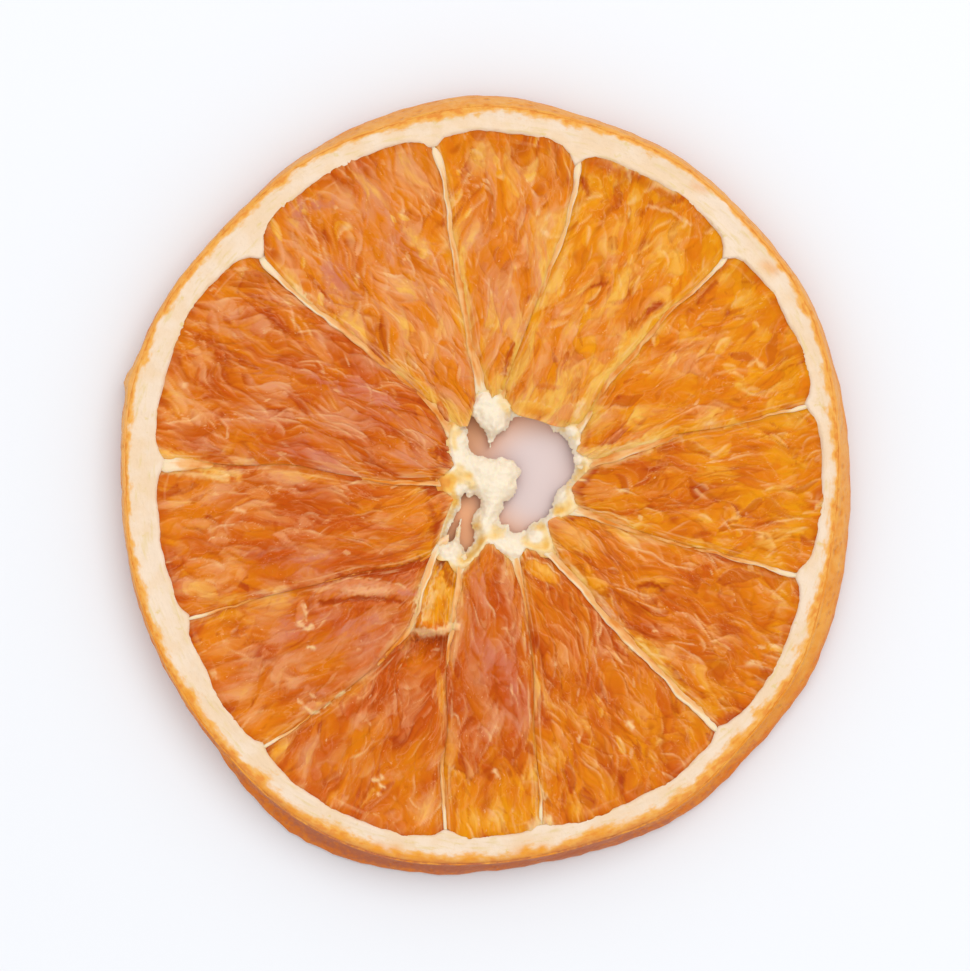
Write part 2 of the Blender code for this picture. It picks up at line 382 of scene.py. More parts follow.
MEMBRANES = (
    Membrane(
        (13.6, 13.6, 13.2, 14.2, 12.8, 11.0), (0.20, 0.12, 0.20, 0.32, 0.44, 0.46),
        (1.0, 0.5, 0.15, 0.2, 0.65, 0.3), (1.2, 0.8), -0.6,
    ),
    Membrane(
        (43.6, 42.9, 43.4, 42.0, 39.8, 31.0), (0.24, 0.18, 0.28, 0.50, 0.50, 0.45),
        (1.0, 0.8, 0.35, 0.3, 0.4, 0.5), (1.6, 0.9), -0.8,
    ),
    Membrane(
        (74.3, 73.0, 73.2, 74.3, 76.0, 79.0), (0.28, 0.24, 0.24, 0.22, 0.18, 0.18),
        (1.0, 1.0, 0.8, 0.25, 0.05, 0.2), (1.5, 0.9), -0.4,
    ),
    Membrane(
        (98.8, 97.8, 98.0, 97.5, 96.7, 94.6), (0.30, 0.26, 0.28, 0.42, 0.40, 0.45),
        (1.0, 1.0, 0.8, 0.5, 0.4, 0.8), (1.5, 0.8), 0.6,
    ),
    Membrane(
        (134.6, 135.3, 134.4, 132.2, 130.0, 126.0), (0.44, 0.30, 0.32, 0.46, 0.36, 0.40),
        (1.0, 1.0, 0.85, 0.5, 0.25, 0.3), (2.3, 1.2), 0.9,
    ),
    Membrane(
        (176.3, 176.0, 176.0, 174.8, 176.5, 178.5), (0.90, 0.60, 0.20, 0.24, 0.18, 0.24),
        (0.75, 0.35, 0.05, 0.15, 0.1, 0.3), (1.0, 1.0), 1.0,
    ),
    Membrane(
        (204.3, 205.6, 207.5, 211.0, 216.0, 228.0), (0.14, 0.12, 0.14, 0.16, 0.18, 0.20),
        (0.9, 0.5, 0.1, 0.1, 0.05, 0.2), (0.9, 0.7), -0.3,
    ),
    Membrane(
        (230.3, 233.0, 236.3, 240.0, 241.5, 235.5), (0.12, 0.12, 0.14, 0.20, 0.28, 0.30),
        (0.8, 0.3, 0.05, 0.1, 0.9, 0.9), (0.7, 0.7), 0.5,
    ),
    Membrane(
        (262.8, 261.3, 260.7, 258.0, 256.8, 254.2), (0.14, 0.22, 0.16, 0.16, 0.24, 0.30),
        (0.9, 0.4, 0.1, 0.15, 0.7, 0.6), (1.0, 0.7), -0.3,
    ),
    Membrane(
        (279.2, 280.0, 281.0, 283.6, 286.0, 288.6), (0.16, 0.12, 0.12, 0.16, 0.20, 0.28),
        (1.0, 0.3, 0.2, 0.2, 0.2, 0.6), (0.7, 0.8), 0.2,
    ),
    Membrane(
        (313.1, 312.9, 312.6, 312.2, 312.5, 312.4), (0.28, 0.44, 0.34, 0.52, 0.44, 0.36),
        (1.0, 0.9, 0.7, 0.6, 0.7, 0.8), (1.0, 0.8), -1.0,
    ),
    Membrane(
        (343.7, 343.2, 343.2, 342.6, 342.5, 343.0), (0.26, 0.20, 0.20, 0.34, 0.34, 0.38),
        (1.0, 1.0, 0.4, 0.25, 0.3, 0.6), (1.3, 0.8), -0.7,
    ),
)  # fmt: skip


@dataclass(frozen=True)
class SliceForm:
    """The uneven form of the slice. Sizes are in millimetres, at even steps of angle round the slice.

    Attributes:
        skin: Radii of the widest point of the side.
        flare: How far the side stands out beyond the edge of the cut face.
        pith: Radii where the pith ends and the pulp begins.
        core: Radii where the pulp ends and the core begins.
        low_lip: How far down the side its widest point has slid, from 0 to 1.
        brown: How brown the skin is, from 0 to 1, which also browns the pith's outer edge; on the skin's side
            it is partly painted shade.
        stain: How far the skin's colour has crept into the pith, in millimetres.
    """

    skin: tuple[float, ...] = (
        31.4, 31.6, 32.1, 32.2, 32.7, 32.8, 33.5, 33.0, 32.4, 31.7, 32.0, 32.2,
        31.6, 31.8, 32.2, 32.9, 34.7, 34.6, 33.7, 33.3, 33.5, 32.7, 32.6, 31.8,
    )  # fmt: skip
    flare: tuple[float, ...] = (
        1.00, 0.65, 0.40, 0.45, 0.45, 0.60, 0.90, 0.95, 0.50, 0.25, 0.25, 0.40,
        0.30, 0.30, 0.35, 0.55, 1.45, 1.15, 0.85, 0.90, 1.05, 1.15, 1.30, 1.35,
    )  # fmt: skip
    pith: tuple[float, ...] = (
        28.8, 29.1, 29.4, 29.5, 29.7, 29.8, 30.3, 30.1, 29.7, 29.2, 29.3, 29.1,
        28.5, 28.5, 28.9, 29.8, 30.8, 31.0, 30.4, 30.1, 30.0, 29.6, 29.2, 28.6,
    )  # fmt: skip
    core: tuple[float, ...] = (
        7.6, 8.0, 8.1, 7.5, 6.8, 6.3, 6.7, 5.4, 4.6, 3.8, 3.4, 3.0,
        2.8, 3.0, 3.5, 4.8, 6.6, 6.4, 5.2, 5.4, 6.4, 6.9, 6.3, 6.9,
    )  # fmt: skip
    low_lip: tuple[float, ...] = (
        0.0, 0.0, 0.0, 0.0, 0.0, 0.0, 0.0, 0.0, 0.0, 0.0, 0.0, 0.0,
        0.0, 0.1, 0.3, 0.7, 1.0, 1.0, 0.8, 0.8, 0.7, 0.5, 0.2, 0.0,
    )  # fmt: skip
    brown: tuple[float, ...] = (
        0.0, 0.0, 0.0, 0.0, 0.0, 0.0, 0.0, 0.0, 0.0, 0.0, 0.0, 0.0,
        0.0, 0.1, 0.2, 0.4, 0.8, 1.0, 1.0, 0.9, 0.5, 0.2, 0.0, 0.0,
    )  # fmt: skip
    stain: tuple[float, ...] = (
        0.9, 0.9, 0.8, 0.6, 0.6, 0.7, 1.0, 0.8, 0.7, 0.8, 0.8, 0.8,
        0.6, 0.8, 0.9, 1.1, 1.4, 1.05, 1.0, 1.2, 1.4, 1.4, 1.2, 0.9,
    )  # fmt: skip
    first_station: float = 29.0
    station_step: float = 4.0
    rim_top: float = 4.3
    rim_warp: float = 0.2
    warp_turn: float = 1.1
    ripple: float = 0.6
    ripples: int = 3
    ripple_turn: float = 0.4
    pulp_top: float = 3.35
    pulp_bottom: float = 1.0
    tip_round: float = 1.3
    tip_width: float = 1.1
    core_dish: float = 0.95
    dish_width: float = 2.6
    core_about: float = 7.0
    pulp_about: float = 22.0
    passes: int = 6

    def around(self, values: Sequence[float], angle: Field) -> Field:
        """A value at an angle, on the smooth closed curve through evenly spaced values.

        Args:
            values: The values, the first of them at angle 0.
            angle: Angles in radians.

        Returns:
            The value at each angle.
        """
        table = np.array(values)
        place = np.mod(angle / TURN, 1.0) * len(table)
        first = np.floor(place).astype(int)
        t = place - first
        before, a, b, after = (table[(first + k) % len(table)] for k in (-1, 0, 1, 2))
        return spline(before, a, b, after, t)

    def along(self, values: Sequence[float], radius: Field) -> Field:
        """A value at a radius, on the smooth curve through a membrane's six stations.

        Args:
            values: The values, outermost first.
            radius: Radii in millimetres.

        Returns:
            The value at each radius.
        """
        beyond = 2 * values[0] - values[1]
        within = 2 * values[-1] - values[-2]
        table = np.array([beyond, *values, within, within])
        place = np.clip((self.first_station - radius) / self.station_step, -0.7, len(values) - 0.6)
        first = np.floor(place).astype(int)
        before, a, b, after = (table[np.clip(first + k, 0, len(table) - 1)] for k in (0, 1, 2, 3))
        return spline(before, a, b, after, place - first)

    def wall_angle(self, index: int, radius: Field) -> Field:
        """The angle in radians at which membrane `index` crosses a radius."""
        lap, index = divmod(index, len(MEMBRANES))
        return np.radians(self.along(MEMBRANES[index].angles, radius)) + lap * TURN

    def off_wall(self, angle: Field, radius: Field) -> Field:
        """How far places lie from the membranes.

        Args:
            angle: Angles in radians.
            radius: Radii in millimetres.

        Returns:
            The distance in millimetres from each membrane, one row for each.
        """
        rows = []
        for index in range(len(MEMBRANES)):
            turn = np.mod(angle - self.wall_angle(index, radius) + math.pi, TURN) - math.pi
            rows.append(np.abs(turn) * radius)
        return np.array(rows)

    def pith_radius(self, angle: Field) -> Field:
        """Where the pulp begins, drawn in where membranes join.

        Args:
            angle: Angles in radians.

        Returns:
            The radius at each angle.
        """
        radius = self.around(self.pith, angle)
        reach, width = np.array([membrane.joint for membrane in MEMBRANES]).T[:, :, None]
        return radius - (reach * np.exp(-self.off_wall(angle, radius) / width)).max(axis=0)

    def core_radius(self, angle: Field) -> Field:
        """The radius where the pulp ends at the core, rounding each segment's tip."""
        radius = self.around(self.core, angle)
        return radius + self.tip_round * bell(self.off_wall(angle, radius).min(axis=0), self.tip_width)

    def rim_height(self, angle: Field) -> Field:
        """The height of the rim's top at an angle."""
        warp = np.cos(angle - self.warp_turn) + self.ripple * np.cos(self.ripples * angle + self.ripple_turn)
        return self.rim_top + self.rim_warp * warp

    def segment_place(self, index: int, across: Field, share: Field) -> tuple[Field, Field]:
        """The radius and angle of a place in a segment.

        Args:
            index: The segment, which starts at the membrane of that index.
            across: How far across it, from 0 to 1.
            share: How far out from core to pith, from 0 to 1.

        Returns:
            Radii in millimetres and angles in radians.
        """
        radius = self.core_about + self.pulp_about * share
        angle = np.zeros(radius.shape)
        for _ in range(self.passes):
            start = self.wall_angle(index, radius)
            angle = start + across * (self.wall_angle(index + 1, radius) - start)
            core = self.core_radius(angle)
            radius = core + share * (self.pith_radius(angle) - core)
        return radius, angle


FORM = SliceForm()


class Placer:
    """Sets shapes in the slice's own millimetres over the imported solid, in metres."""

    STATIONS = 1441
    EASE = 0.9995

    def __init__(self, form: SliceForm) -> None:
        """Measures the outline and the solid that it has to fit.

        Args:
            form: The slice's form.
        """
        angle = np.linspace(0, TURN, self.STATIONS)
        radius = form.around(form.skin, angle)
        low, high = (np.array(corner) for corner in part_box(NODE))
        x, y = radius * np.cos(angle), radius * np.sin(angle)
        self.middle = np.array([(x.min() + x.max()) / 2, (y.min() + y.max()) / 2, 0.0])
        sides = np.array([np.ptp(x), np.ptp(y)]) * MM
        fit = min(1.0, *((high - low)[:2] / sides)) * self.EASE
        self.scale = np.array([fit, fit, 1.0]) * MM
        self.top = high[2]

    def metres(self, points: Field) -> Field:
        """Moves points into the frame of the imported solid, between table and top.

        Args:
            points: Points in the slice's own millimetres, one row each.

        Returns:
            The points in metres.
        """
        placed = (points - self.middle) * self.scale
        placed[:, 2] = np.clip(placed[:, 2], 0.0, self.top)
        return placed


PLACER = Placer(FORM)

# -------------------- Finishes --------------------


@dataclass(frozen=True)
class Coat:
    """A colour that takes over where a pattern is strong.

    Attributes:
        colour: The colour.
        low: Where it begins to show.
        high: Where it covers.
        strength: How far it covers there, from 0 to 1.
    """

    colour: Linear
    low: float
    high: float
    strength: float = 1.0


class Recipe:
    """A node material under construction."""

    ROUGH_DETAIL = 0.55

    def __init__(self, name: str) -> None:
        """Starts the material with its shader alone.

        Args:
            name: The material's name.
        """
        self.material = bpy.data.materials.new(name)
        self.material.use_nodes = True
        self.tree = self.material.node_tree
        self.shader = self.tree.nodes["Principled BSDF"]

    def feed(self, socket: Socket, value: object) -> None:
        """Fills a socket.

        Args:
            socket: The socket.
            value: A socket to link into it, or a plain value.
        """
        if isinstance(value, Socket):
            self.tree.links.new(value, socket)
        else:
            socket.default_value = value

    def node(self, kind: str, settings: dict[str, object], inputs: dict[str | int, object]) -> bpy.types.Node:
        """Adds a node.

        Args:
            kind: The node's type.
            settings: Its properties.
            inputs: Its sockets by name or number, each with a value or the socket that feeds it.

        Returns:
            The node.
        """
        made = self.tree.nodes.new(kind)
        for name, value in settings.items():
            setattr(made, name, value)
        for name, value in inputs.items():
            self.feed(made.inputs[name], value)
        return made

    def mask(self, name: str) -> Socket:
        """The piece's own mask of that name, from 0 to 1."""
        return self.node("ShaderNodeAttribute", {"attribute_name": name}, {}).outputs["Fac"]

    def grain(self) -> Socket:
        """The piece's own grain: millimetres across it, along it and through it."""
        return self.node("ShaderNodeAttribute", {"attribute_name": "grain"}, {}).outputs["Vector"]

    def place(self, size_mm: float) -> Socket:
        """Scales the piece's own coordinates for a pattern.

        Args:
            size_mm: How many millimetres the pattern's unit is.

        Returns:
            The coordinates.
        """
        where = self.node("ShaderNodeTexCoord", {}, {}).outputs["Object"]
        scale = 1 / (size_mm * MM)
        mapped = self.node("ShaderNodeMapping", {}, {"Vector": where, "Scale": (scale, scale, scale)})
        return mapped.outputs["Vector"]

    def streaks(self, across_mm: float, along_mm: float, through_mm: float = 1.0) -> Socket:
        """The piece's grain, scaled so that a pattern is drawn out along it."""
        scale = (1 / across_mm, 1 / along_mm, 1 / through_mm)
        return self.node("ShaderNodeMapping", {}, {"Vector": self.grain(), "Scale": scale}).outputs["Vector"]

    def noise(self, where: Socket, detail: float = 2.0) -> Socket:
        """Cloudy noise from 0 to 1 at a place."""
        inputs = {"Vector": where, "Scale": 1.0, "Detail": detail, "Roughness": self.ROUGH_DETAIL}
        return self.node("ShaderNodeTexNoise", {}, inputs).outputs["Fac"]

    def spots(self, where: Socket) -> Socket:
        """The distance to the nearest of scattered points."""
        return self.node("ShaderNodeTexVoronoi", {}, {"Vector": where, "Scale": 1.0}).outputs["Distance"]

    def distance(self, where: Socket, point: Sequence[float]) -> Socket:
        """How far a place is from a point."""
        made = self.node("ShaderNodeVectorMath", {"operation": "DISTANCE"}, {0: where, 1: point})
        return made.outputs["Value"]

    def level(self, value: Socket, low: float, high: float) -> Socket:
        """0 below low and 1 above high, with a smooth rise between them."""
        inputs = {"Value": value, "From Min": low, "From Max": high}
        return self.node("ShaderNodeMapRange", {"interpolation_type": "SMOOTHSTEP"}, inputs).outputs["Result"]

    def thread(self, value: Socket, at: float, width: float) -> Socket:
        """1 where a pattern passes a level, which draws a thin winding line, and 0 away from it."""
        off = self.maths("ABSOLUTE", self.maths("SUBTRACT", value, at), 0.0)
        return self.maths("SUBTRACT", 1.0, self.level(off, 0.2 * width, width))

    def span(self, value: Socket, low: float, high: float) -> Socket:
        """A value from 0 to 1 spread evenly between low and high."""
        inputs = {"Value": value, "To Min": low, "To Max": high}
        return self.node("ShaderNodeMapRange", {}, inputs).outputs["Result"]

    def maths(self, operation: str, a: object, b: object) -> Socket:
        """One sum on two values."""
        return self.node("ShaderNodeMath", {"operation": operation}, {0: a, 1: b}).outputs["Value"]

    def times(self, a: object, b: object) -> Socket:
        """One value times another."""
        return self.maths("MULTIPLY", a, b)

    def frayed(self, value: Socket, pattern: Socket, low: float, high: float) -> Socket:
        """A value with its borders broken up by a pattern that adds low to high."""
        return self.maths("ADD", value, self.span(pattern, low, high))

    def mix(self, share: object, a: object, b: object) -> Socket:
        """Colour a turning into colour b as share goes from 0 to 1."""
        return self.node("ShaderNodeMix", {"data_type": "RGBA"}, {0: share, 6: a, 7: b}).outputs[2]

    def coat(self, under: object, pattern: Socket, coat: Coat) -> Socket:
        """Lays a coat over a colour.

        Args:
            under: The colour beneath.
            pattern: The pattern that the coat follows.
            coat: The coat.

        Returns:
            The colour with the coat.
        """
        share = self.level(pattern, coat.low, coat.high)
        if coat.strength < 1:
            share = self.times(share, coat.strength)
        return self.mix(share, under, coat.colour)

    def bump(self, *layers: tuple[Socket, float]) -> None:
        """Adds low relief to the surface.

        Args:
            *layers: Heights from 0 to 1, each with its depth in millimetres.
        """
        normal = None
        for height, depth in layers:
            inputs = {"Height": height, "Distance": depth * MM, "Strength": 1.0}
            if normal is not None:
                inputs["Normal"] = normal
            normal = self.node("ShaderNodeBump", {}, inputs).outputs["Normal"]
        self.feed(self.shader.inputs["Normal"], normal)

    def surface(self, colour: object, roughness: object, **plain: object) -> Material:
        """Feeds the shader.

        Args:
            colour: The base colour.
            roughness: The roughness.
            **plain: Other sockets of the shader, with _ for a space.

        Returns:
            The finished material.
        """
        self.feed(self.shader.inputs["Base Color"], colour)
        self.feed(self.shader.inputs["Roughness"], roughness)
        for name, value in plain.items():
            self.shader.inputs[name.replace("_", " ")].default_value = value
        return self.material


@dataclass(frozen=True)
class PulpFinish:
    """Dried juice sacs: clear amber jelly under skins that dried milky, redder where it is thick, with
    painted highlights and painted shade.
    """

    amber: Linear = shade(235, 134, 6)
    russet: Coat = Coat(shade(211, 93, 8), 0.1, 1.0)
    gold: Coat = Coat(shade(245, 160, 10), 0.1, 1.0)
    umber: Linear = shade(186, 70, 4)
    milk_and_light: Linear = shade(247, 175, 110)
    rose: Linear = shade(220, 135, 104)
    wax: Coat = Coat(shade(251, 194, 92), 0.35, 1.0)
    cream: Linear = shade(253, 210, 150)
    # The width and strength of the lines along folds, and how their dark creases lie beside them. The pale
    # ridge lines are painted highlight and the dark creases painted shade.
    folds: tuple[float, float] = (0.034, 0.28)
    wrinkles: tuple[float, float] = (0.040, 0.12)
    crease_shade_reach: float = 3.0
    crease_shade_strength: float = 0.6
    milk_cover: float = 0.92
    gloss: float = 0.06

    def material(self, name: str) -> Material:
        """The material of a segment's pulp, which reads the segment's masks.

        Args:
            name: The material's name.

        Returns:
            The material.
        """
        recipe = Recipe(name)
        fine = recipe.noise(recipe.streaks(0.26, 1.3), 4.0)
        cloudy = recipe.noise(recipe.streaks(0.9, 3.0), 3.0)
        red = recipe.frayed(recipe.mask("red"), cloudy, -0.3, 0.3)
        gold = recipe.frayed(recipe.mask("gold"), fine, -0.2, 0.2)
        colour = recipe.coat(self.amber, red, self.russet)
        colour = recipe.coat(colour, gold, self.gold)
        colour = recipe.mix(recipe.mask("deep"), colour, self.umber)
        veil = recipe.mix(recipe.mask("rosy"), self.milk_and_light, self.rose)
        veil = recipe.coat(veil, gold, self.wax)
        milk_and_light = recipe.level(recipe.frayed(recipe.mask("milk_and_light"), fine, -0.2, 0.2), 0.0, 1.0)
        colour = recipe.mix(recipe.times(milk_and_light, self.milk_cover), colour, veil)
        film_and_highlight = recipe.times(recipe.mask("film_and_highlight"), recipe.span(fine, 0.4, 1.5))
        colour = recipe.mix(film_and_highlight, colour, self.cream)
        # Painted glints: small cream highlights, in patches.
        glint = recipe.level(recipe.noise(recipe.streaks(0.20, 0.42)), 0.64, 0.72)
        patch = recipe.level(recipe.noise(recipe.streaks(1.3, 2.6)), 0.42, 0.62)
        colour = recipe.mix(recipe.times(glint, recipe.times(patch, 0.5)), colour, self.cream)
        folds = recipe.noise(recipe.streaks(1.1, 2.6))
        wrinkles = recipe.noise(recipe.streaks(0.5, 1.2), 2.5)
        # Painted shade in a crease beside each fold, and a painted highlight along its ridge.
        for pattern, (width, strength) in ((folds, self.folds), (wrinkles, self.wrinkles)):
            reach = self.crease_shade_reach * width
            crease_shade = recipe.times(recipe.thread(pattern, 0.5 + reach, reach), self.crease_shade_strength * strength)
            colour = recipe.mix(crease_shade, colour, self.russet.colour)
            ridge_highlight = recipe.times(recipe.thread(pattern, 0.5, width), strength)
            colour = recipe.mix(recipe.times(ridge_highlight, patch), colour, veil)
        recipe.bump((fine, 0.04), (folds, 0.10), (wrinkles, 0.05))
        roughness = recipe.span(cloudy, 0.30, 0.60)
        glow = {"Subsurface_Weight": 0.5, "Subsurface_Radius": (1.0, 0.35, 0.1), "Subsurface_Scale": 0.0009}
        return recipe.surface(colour, roughness, Specular_IOR_Level=self.gloss, **glow)


@dataclass(frozen=True)
class PithFinish:
    """Dried pith: cream and spongy, with yellow-green flecks, golden where it meets the skin."""

    cream: Linear = shade(247, 217, 181)
    ivory: Coat = Coat(shade(250, 227, 201), 0.35, 0.65)
    fibre: Coat = Coat(shade(238, 210, 150), 0.52, 0.72, strength=0.7)
    fleck: Coat = Coat(shade(238, 210, 150), 0.60, 0.75)
    gold: Coat = Coat(shade(248, 180, 84), 0.24, 0.88)
    orange: Coat = Coat(shade(238, 150, 62), 0.82, 1.15)
    brown: Linear = shade(206, 132, 76)
    oil: Linear = shade(242, 156, 38)
    brown_cover: float = 0.8
    roughness: float = 0.72
    gloss: float = 0.12

    def material(self, name: str) -> Material:
        """The material of pith, which reads the piece's masks of skin colour, browning and oil glands.

        Args:
            name: The material's name.

        Returns:
            The material.
        """
        recipe = Recipe(name)
        cloud = recipe.noise(recipe.place(2.6), 3.0)
        speck = recipe.noise(recipe.place(0.8), 5.0)
        flecks = recipe.noise(recipe.streaks(0.30, 0.75, 0.75), 3.0)
        fibres = recipe.noise(recipe.streaks(0.35, 2.2, 2.2), 4.0)
        sponge = recipe.noise(recipe.place(0.3), 3.0)
        colour = recipe.coat(self.cream, cloud, self.ivory)
        colour = recipe.coat(colour, fibres, self.fibre)
        colour = recipe.coat(colour, speck, self.fleck)
        blotch = recipe.frayed(recipe.mask("skin"), speck, -0.4, 0.4)
        blotch = recipe.frayed(blotch, flecks, -0.55, 0.55)
        colour = recipe.coat(colour, blotch, self.gold)
        colour = recipe.coat(colour, blotch, self.orange)
        colour = recipe.mix(recipe.times(recipe.mask("brown"), self.brown_cover), colour, self.brown)
        colour = recipe.mix(recipe.mask("oil"), colour, self.oil)
        recipe.bump((cloud, 0.15), (fibres, 0.10), (sponge, 0.08))
        return recipe.surface(colour, self.roughness, Specular_IOR_Level=self.gloss)


@dataclass(frozen=True)
class RindFinish:
    """Dried skin: satin orange, redder down its side and golden at its cut edge; brown on its shaded lower
    left, partly painted shade, and paler peach on its upper and left sides, painted light.
    """

    orange: Linear = shade(237, 147, 42)
    glow: Coat = Coat(shade(245, 170, 68), 0.35, 0.7)
    peach: Coat = Coat(shade(249, 187, 110), 0.0, 1.2)
    red: Coat = Coat(shade(229, 121, 22), 0.1, 0.9)
    brown: Coat = Coat(shade(192, 110, 74), 0.1, 0.9)
    gold: Coat = Coat(shade(243, 171, 74), 0.2, 0.8)
    pit_cover: float = 0.40
    roughness: float = 0.5
    gloss: float = 0.12

    def material(self, name: str) -> Material:
        """The material of the skin, which reads the piece's masks of browning, which is partly painted shade,
        of the cut edge and of painted rim light.

        Args:
            name: The material's name.

        Returns:
            The material.
        """
        recipe = Recipe(name)
        cloud = recipe.noise(recipe.place(2.4), 4.0)
        speck = recipe.noise(recipe.place(0.6), 3.0)
        dust = recipe.noise(recipe.place(0.45), 4.0)
        pores = recipe.spots(recipe.place(0.8))
        colour = recipe.coat(self.orange, cloud, self.glow)
        colour = recipe.coat(colour, recipe.frayed(recipe.mask("painted_rim_light"), speck, -0.5, 0.5), self.peach)
        colour = recipe.coat(colour, recipe.frayed(recipe.mask("red"), speck, -0.6, 0.6), self.red)
        brown = recipe.frayed(recipe.mask("brown"), cloud, -0.3, 0.3)
        colour = recipe.coat(colour, recipe.frayed(brown, dust, -0.75, 0.60), self.brown)
        colour = recipe.coat(colour, recipe.frayed(recipe.mask("edge"), speck, -0.4, 0.4), self.gold)
        pit = recipe.maths("SUBTRACT", 1.0, recipe.level(pores, 0.10, 0.30))
        colour = recipe.mix(recipe.times(pit, self.pit_cover), colour, self.red.colour)
        recipe.bump((recipe.level(pores, 0.0, 0.45), 0.10), (speck, 0.10), (cloud, 0.15))
        sheen = {"Sheen_Weight": 0.12, "Sheen_Roughness": 0.4, "Sheen_Tint": (1.0, 0.8, 0.6, 1.0)}
        return recipe.surface(colour, self.roughness, Specular_IOR_Level=self.gloss, **sheen)


@dataclass(frozen=True)
class MembraneFinish:
    """Dried membrane: thin clear skin over amber pulp, cream along its standing edge."""

    clear: Linear = shade(236, 139, 40)
    peach: Coat = Coat(shade(249, 190, 122), 0.05, 0.6)
    cream: Coat = Coat(shade(254, 229, 190), 0.55, 1.0)
    roughness: float = 0.5
    gloss: float = 0.12

    def material(self, name: str) -> Material:
        """The material of a membrane, which reads the piece's mask of paleness.

        Args:
            name: The material's name.

        Returns:
            The material.
        """
        recipe = Recipe(name)
        fine = recipe.noise(recipe.streaks(0.22, 1.6), 4.0)
        pale = recipe.frayed(recipe.mask("pale"), fine, -0.3, 0.3)
        colour = recipe.coat(self.clear, pale, self.peach)
        colour = recipe.coat(colour, pale, self.cream)
        recipe.bump((fine, 0.06))
        glow = {"Subsurface_Weight": 0.4, "Subsurface_Radius": (1.0, 0.5, 0.2), "Subsurface_Scale": 0.0006}
        return recipe.surface(colour, self.roughness, Specular_IOR_Level=self.gloss, **glow)


@dataclass(frozen=True)
class CoreFinish:
    """The core's torn pith: cream and white lumps, amber where it is thin."""

    amber: Linear = shade(250, 196, 96)
    umber: Linear = shade(238, 158, 64)
    cream: Coat = Coat(shade(253, 222, 160), 0.1, 0.6)
    white: Coat = Coat(shade(254, 240, 214), 0.5, 1.0)
    shadow: Linear = shade(248, 160, 84)
    roughness: float = 0.55
    gloss: float = 0.12

    def material(self, name: str) -> Material:
        """The material of the core, which reads its masks of white, of dark creases, which are painted shade,
        and of its underside, which takes a shadow colour as painted shade.

        Args:
            name: The material's name.

        Returns:
            The material.
        """
        recipe = Recipe(name)
        cloud = recipe.noise(recipe.place(0.9), 3.0)
        speck = recipe.noise(recipe.place(0.35), 3.0)
        white = recipe.frayed(recipe.mask("white"), cloud, -0.3, 0.3)
        colour = recipe.mix(recipe.mask("deep"), self.amber, self.umber)
        colour = recipe.coat(colour, white, self.cream)
        colour = recipe.coat(colour, white, self.white)
        # Painted shade: the underside, and the torn walls down towards it, take the shadow colour.
        colour = recipe.mix(recipe.mask("under"), colour, self.shadow)
        recipe.bump((cloud, 0.10), (speck, 0.06))
        glow = {"Subsurface_Weight": 0.25, "Subsurface_Radius": (1.0, 0.6, 0.3), "Subsurface_Scale": 0.0004}
        return recipe.surface(colour, self.roughness, Specular_IOR_Level=self.gloss, **glow)


# -------------------- Mesh helpers --------------------


def clear_selection() -> None:
    """Leaves object mode with nothing selected."""
    if bpy.context.object is not None and bpy.context.object.mode != "OBJECT":
        bpy.ops.object.mode_set(mode="OBJECT")
    bpy.ops.object.select_all(action="DESELECT")


def vertex_places(piece: Piece) -> Field:
    """Reads a mesh's vertices.

    Args:
        piece: The object of the mesh.

    Returns:
        Their places, one row each.
    """
    flat = np.empty(len(piece.data.vertices) * 3)
    piece.data.vertices.foreach_get("co", flat)
    return flat.reshape(-1, 3)


def move_vertices(piece: Piece, points: Field) -> None:
    """Moves a mesh's vertices to new places, one row each."""
    piece.data.vertices.foreach_set("co", np.ascontiguousarray(points, dtype=np.float32).ravel())
    piece.data.update()


def set_mask(piece: Piece, name: str, values: Field) -> None:
    """Stores one number from 0 to 1 at each vertex for the material to read."""
    layer = piece.data.attributes.new(name, "FLOAT", "POINT")
    layer.data.foreach_set("value", np.clip(values, 0.0, 1.0).astype(np.float32))


def set_grain(piece: Piece, across: Field, along: Field, through: Field | float = 0.0) -> None:
    """Stores the grain at each vertex for the material to read.

    Args:
        piece: The piece.
        across: Millimetres across the grain.
        along: Millimetres along it.
        through: Millimetres through the piece.
    """
    layer = piece.data.attributes.new("grain", "FLOAT_VECTOR", "POINT")
    rows = np.stack([across, along, np.broadcast_to(through, across.shape)], 1)
    layer.data.foreach_set("vector", rows.astype(np.float32).ravel())


def unit_grid(columns: int, rows: int) -> tuple[Piece, Field, Field]:
    """A flat grid.

    Args:
        columns: Its faces across.
        rows: Its faces along.

    Returns:
        The grid, and how far across and along it each vertex lies, from 0 to 1.
    """
    clear_selection()
    bpy.ops.mesh.primitive_grid_add(x_subdivisions=columns, y_subdivisions=rows, size=1)
    grid = bpy.context.object
    places = vertex_places(grid) + 0.5
    return grid, places[:, 0], places[:, 1]


def select_borders() -> None:
    """In edit mode, selects the open edges alone."""
    bpy.ops.mesh.select_mode(type="EDGE")
    bpy.ops.mesh.select_all(action="DESELECT")
    bpy.ops.mesh.select_non_manifold(
        use_wire=False, use_multi_face=False, use_non_contiguous=False, use_verts=False
    )


def closed_pair(top: Piece, bottom: Piece) -> Piece:
    """Joins two open sheets into one closed piece by bridging their borders.

    Args:
        top: The upper sheet, whose object stays.
        bottom: The lower sheet, facing down.

    Returns:
        The closed piece.
    """
    clear_selection()
    bottom.select_set(True)
    top.select_set(True)
    bpy.context.view_layer.objects.active = top
    bpy.ops.object.join()
    bpy.ops.object.mode_set(mode="EDIT")
    select_borders()
    bpy.ops.mesh.bridge_edge_loops()
    bpy.ops.object.mode_set(mode="OBJECT")
    return top


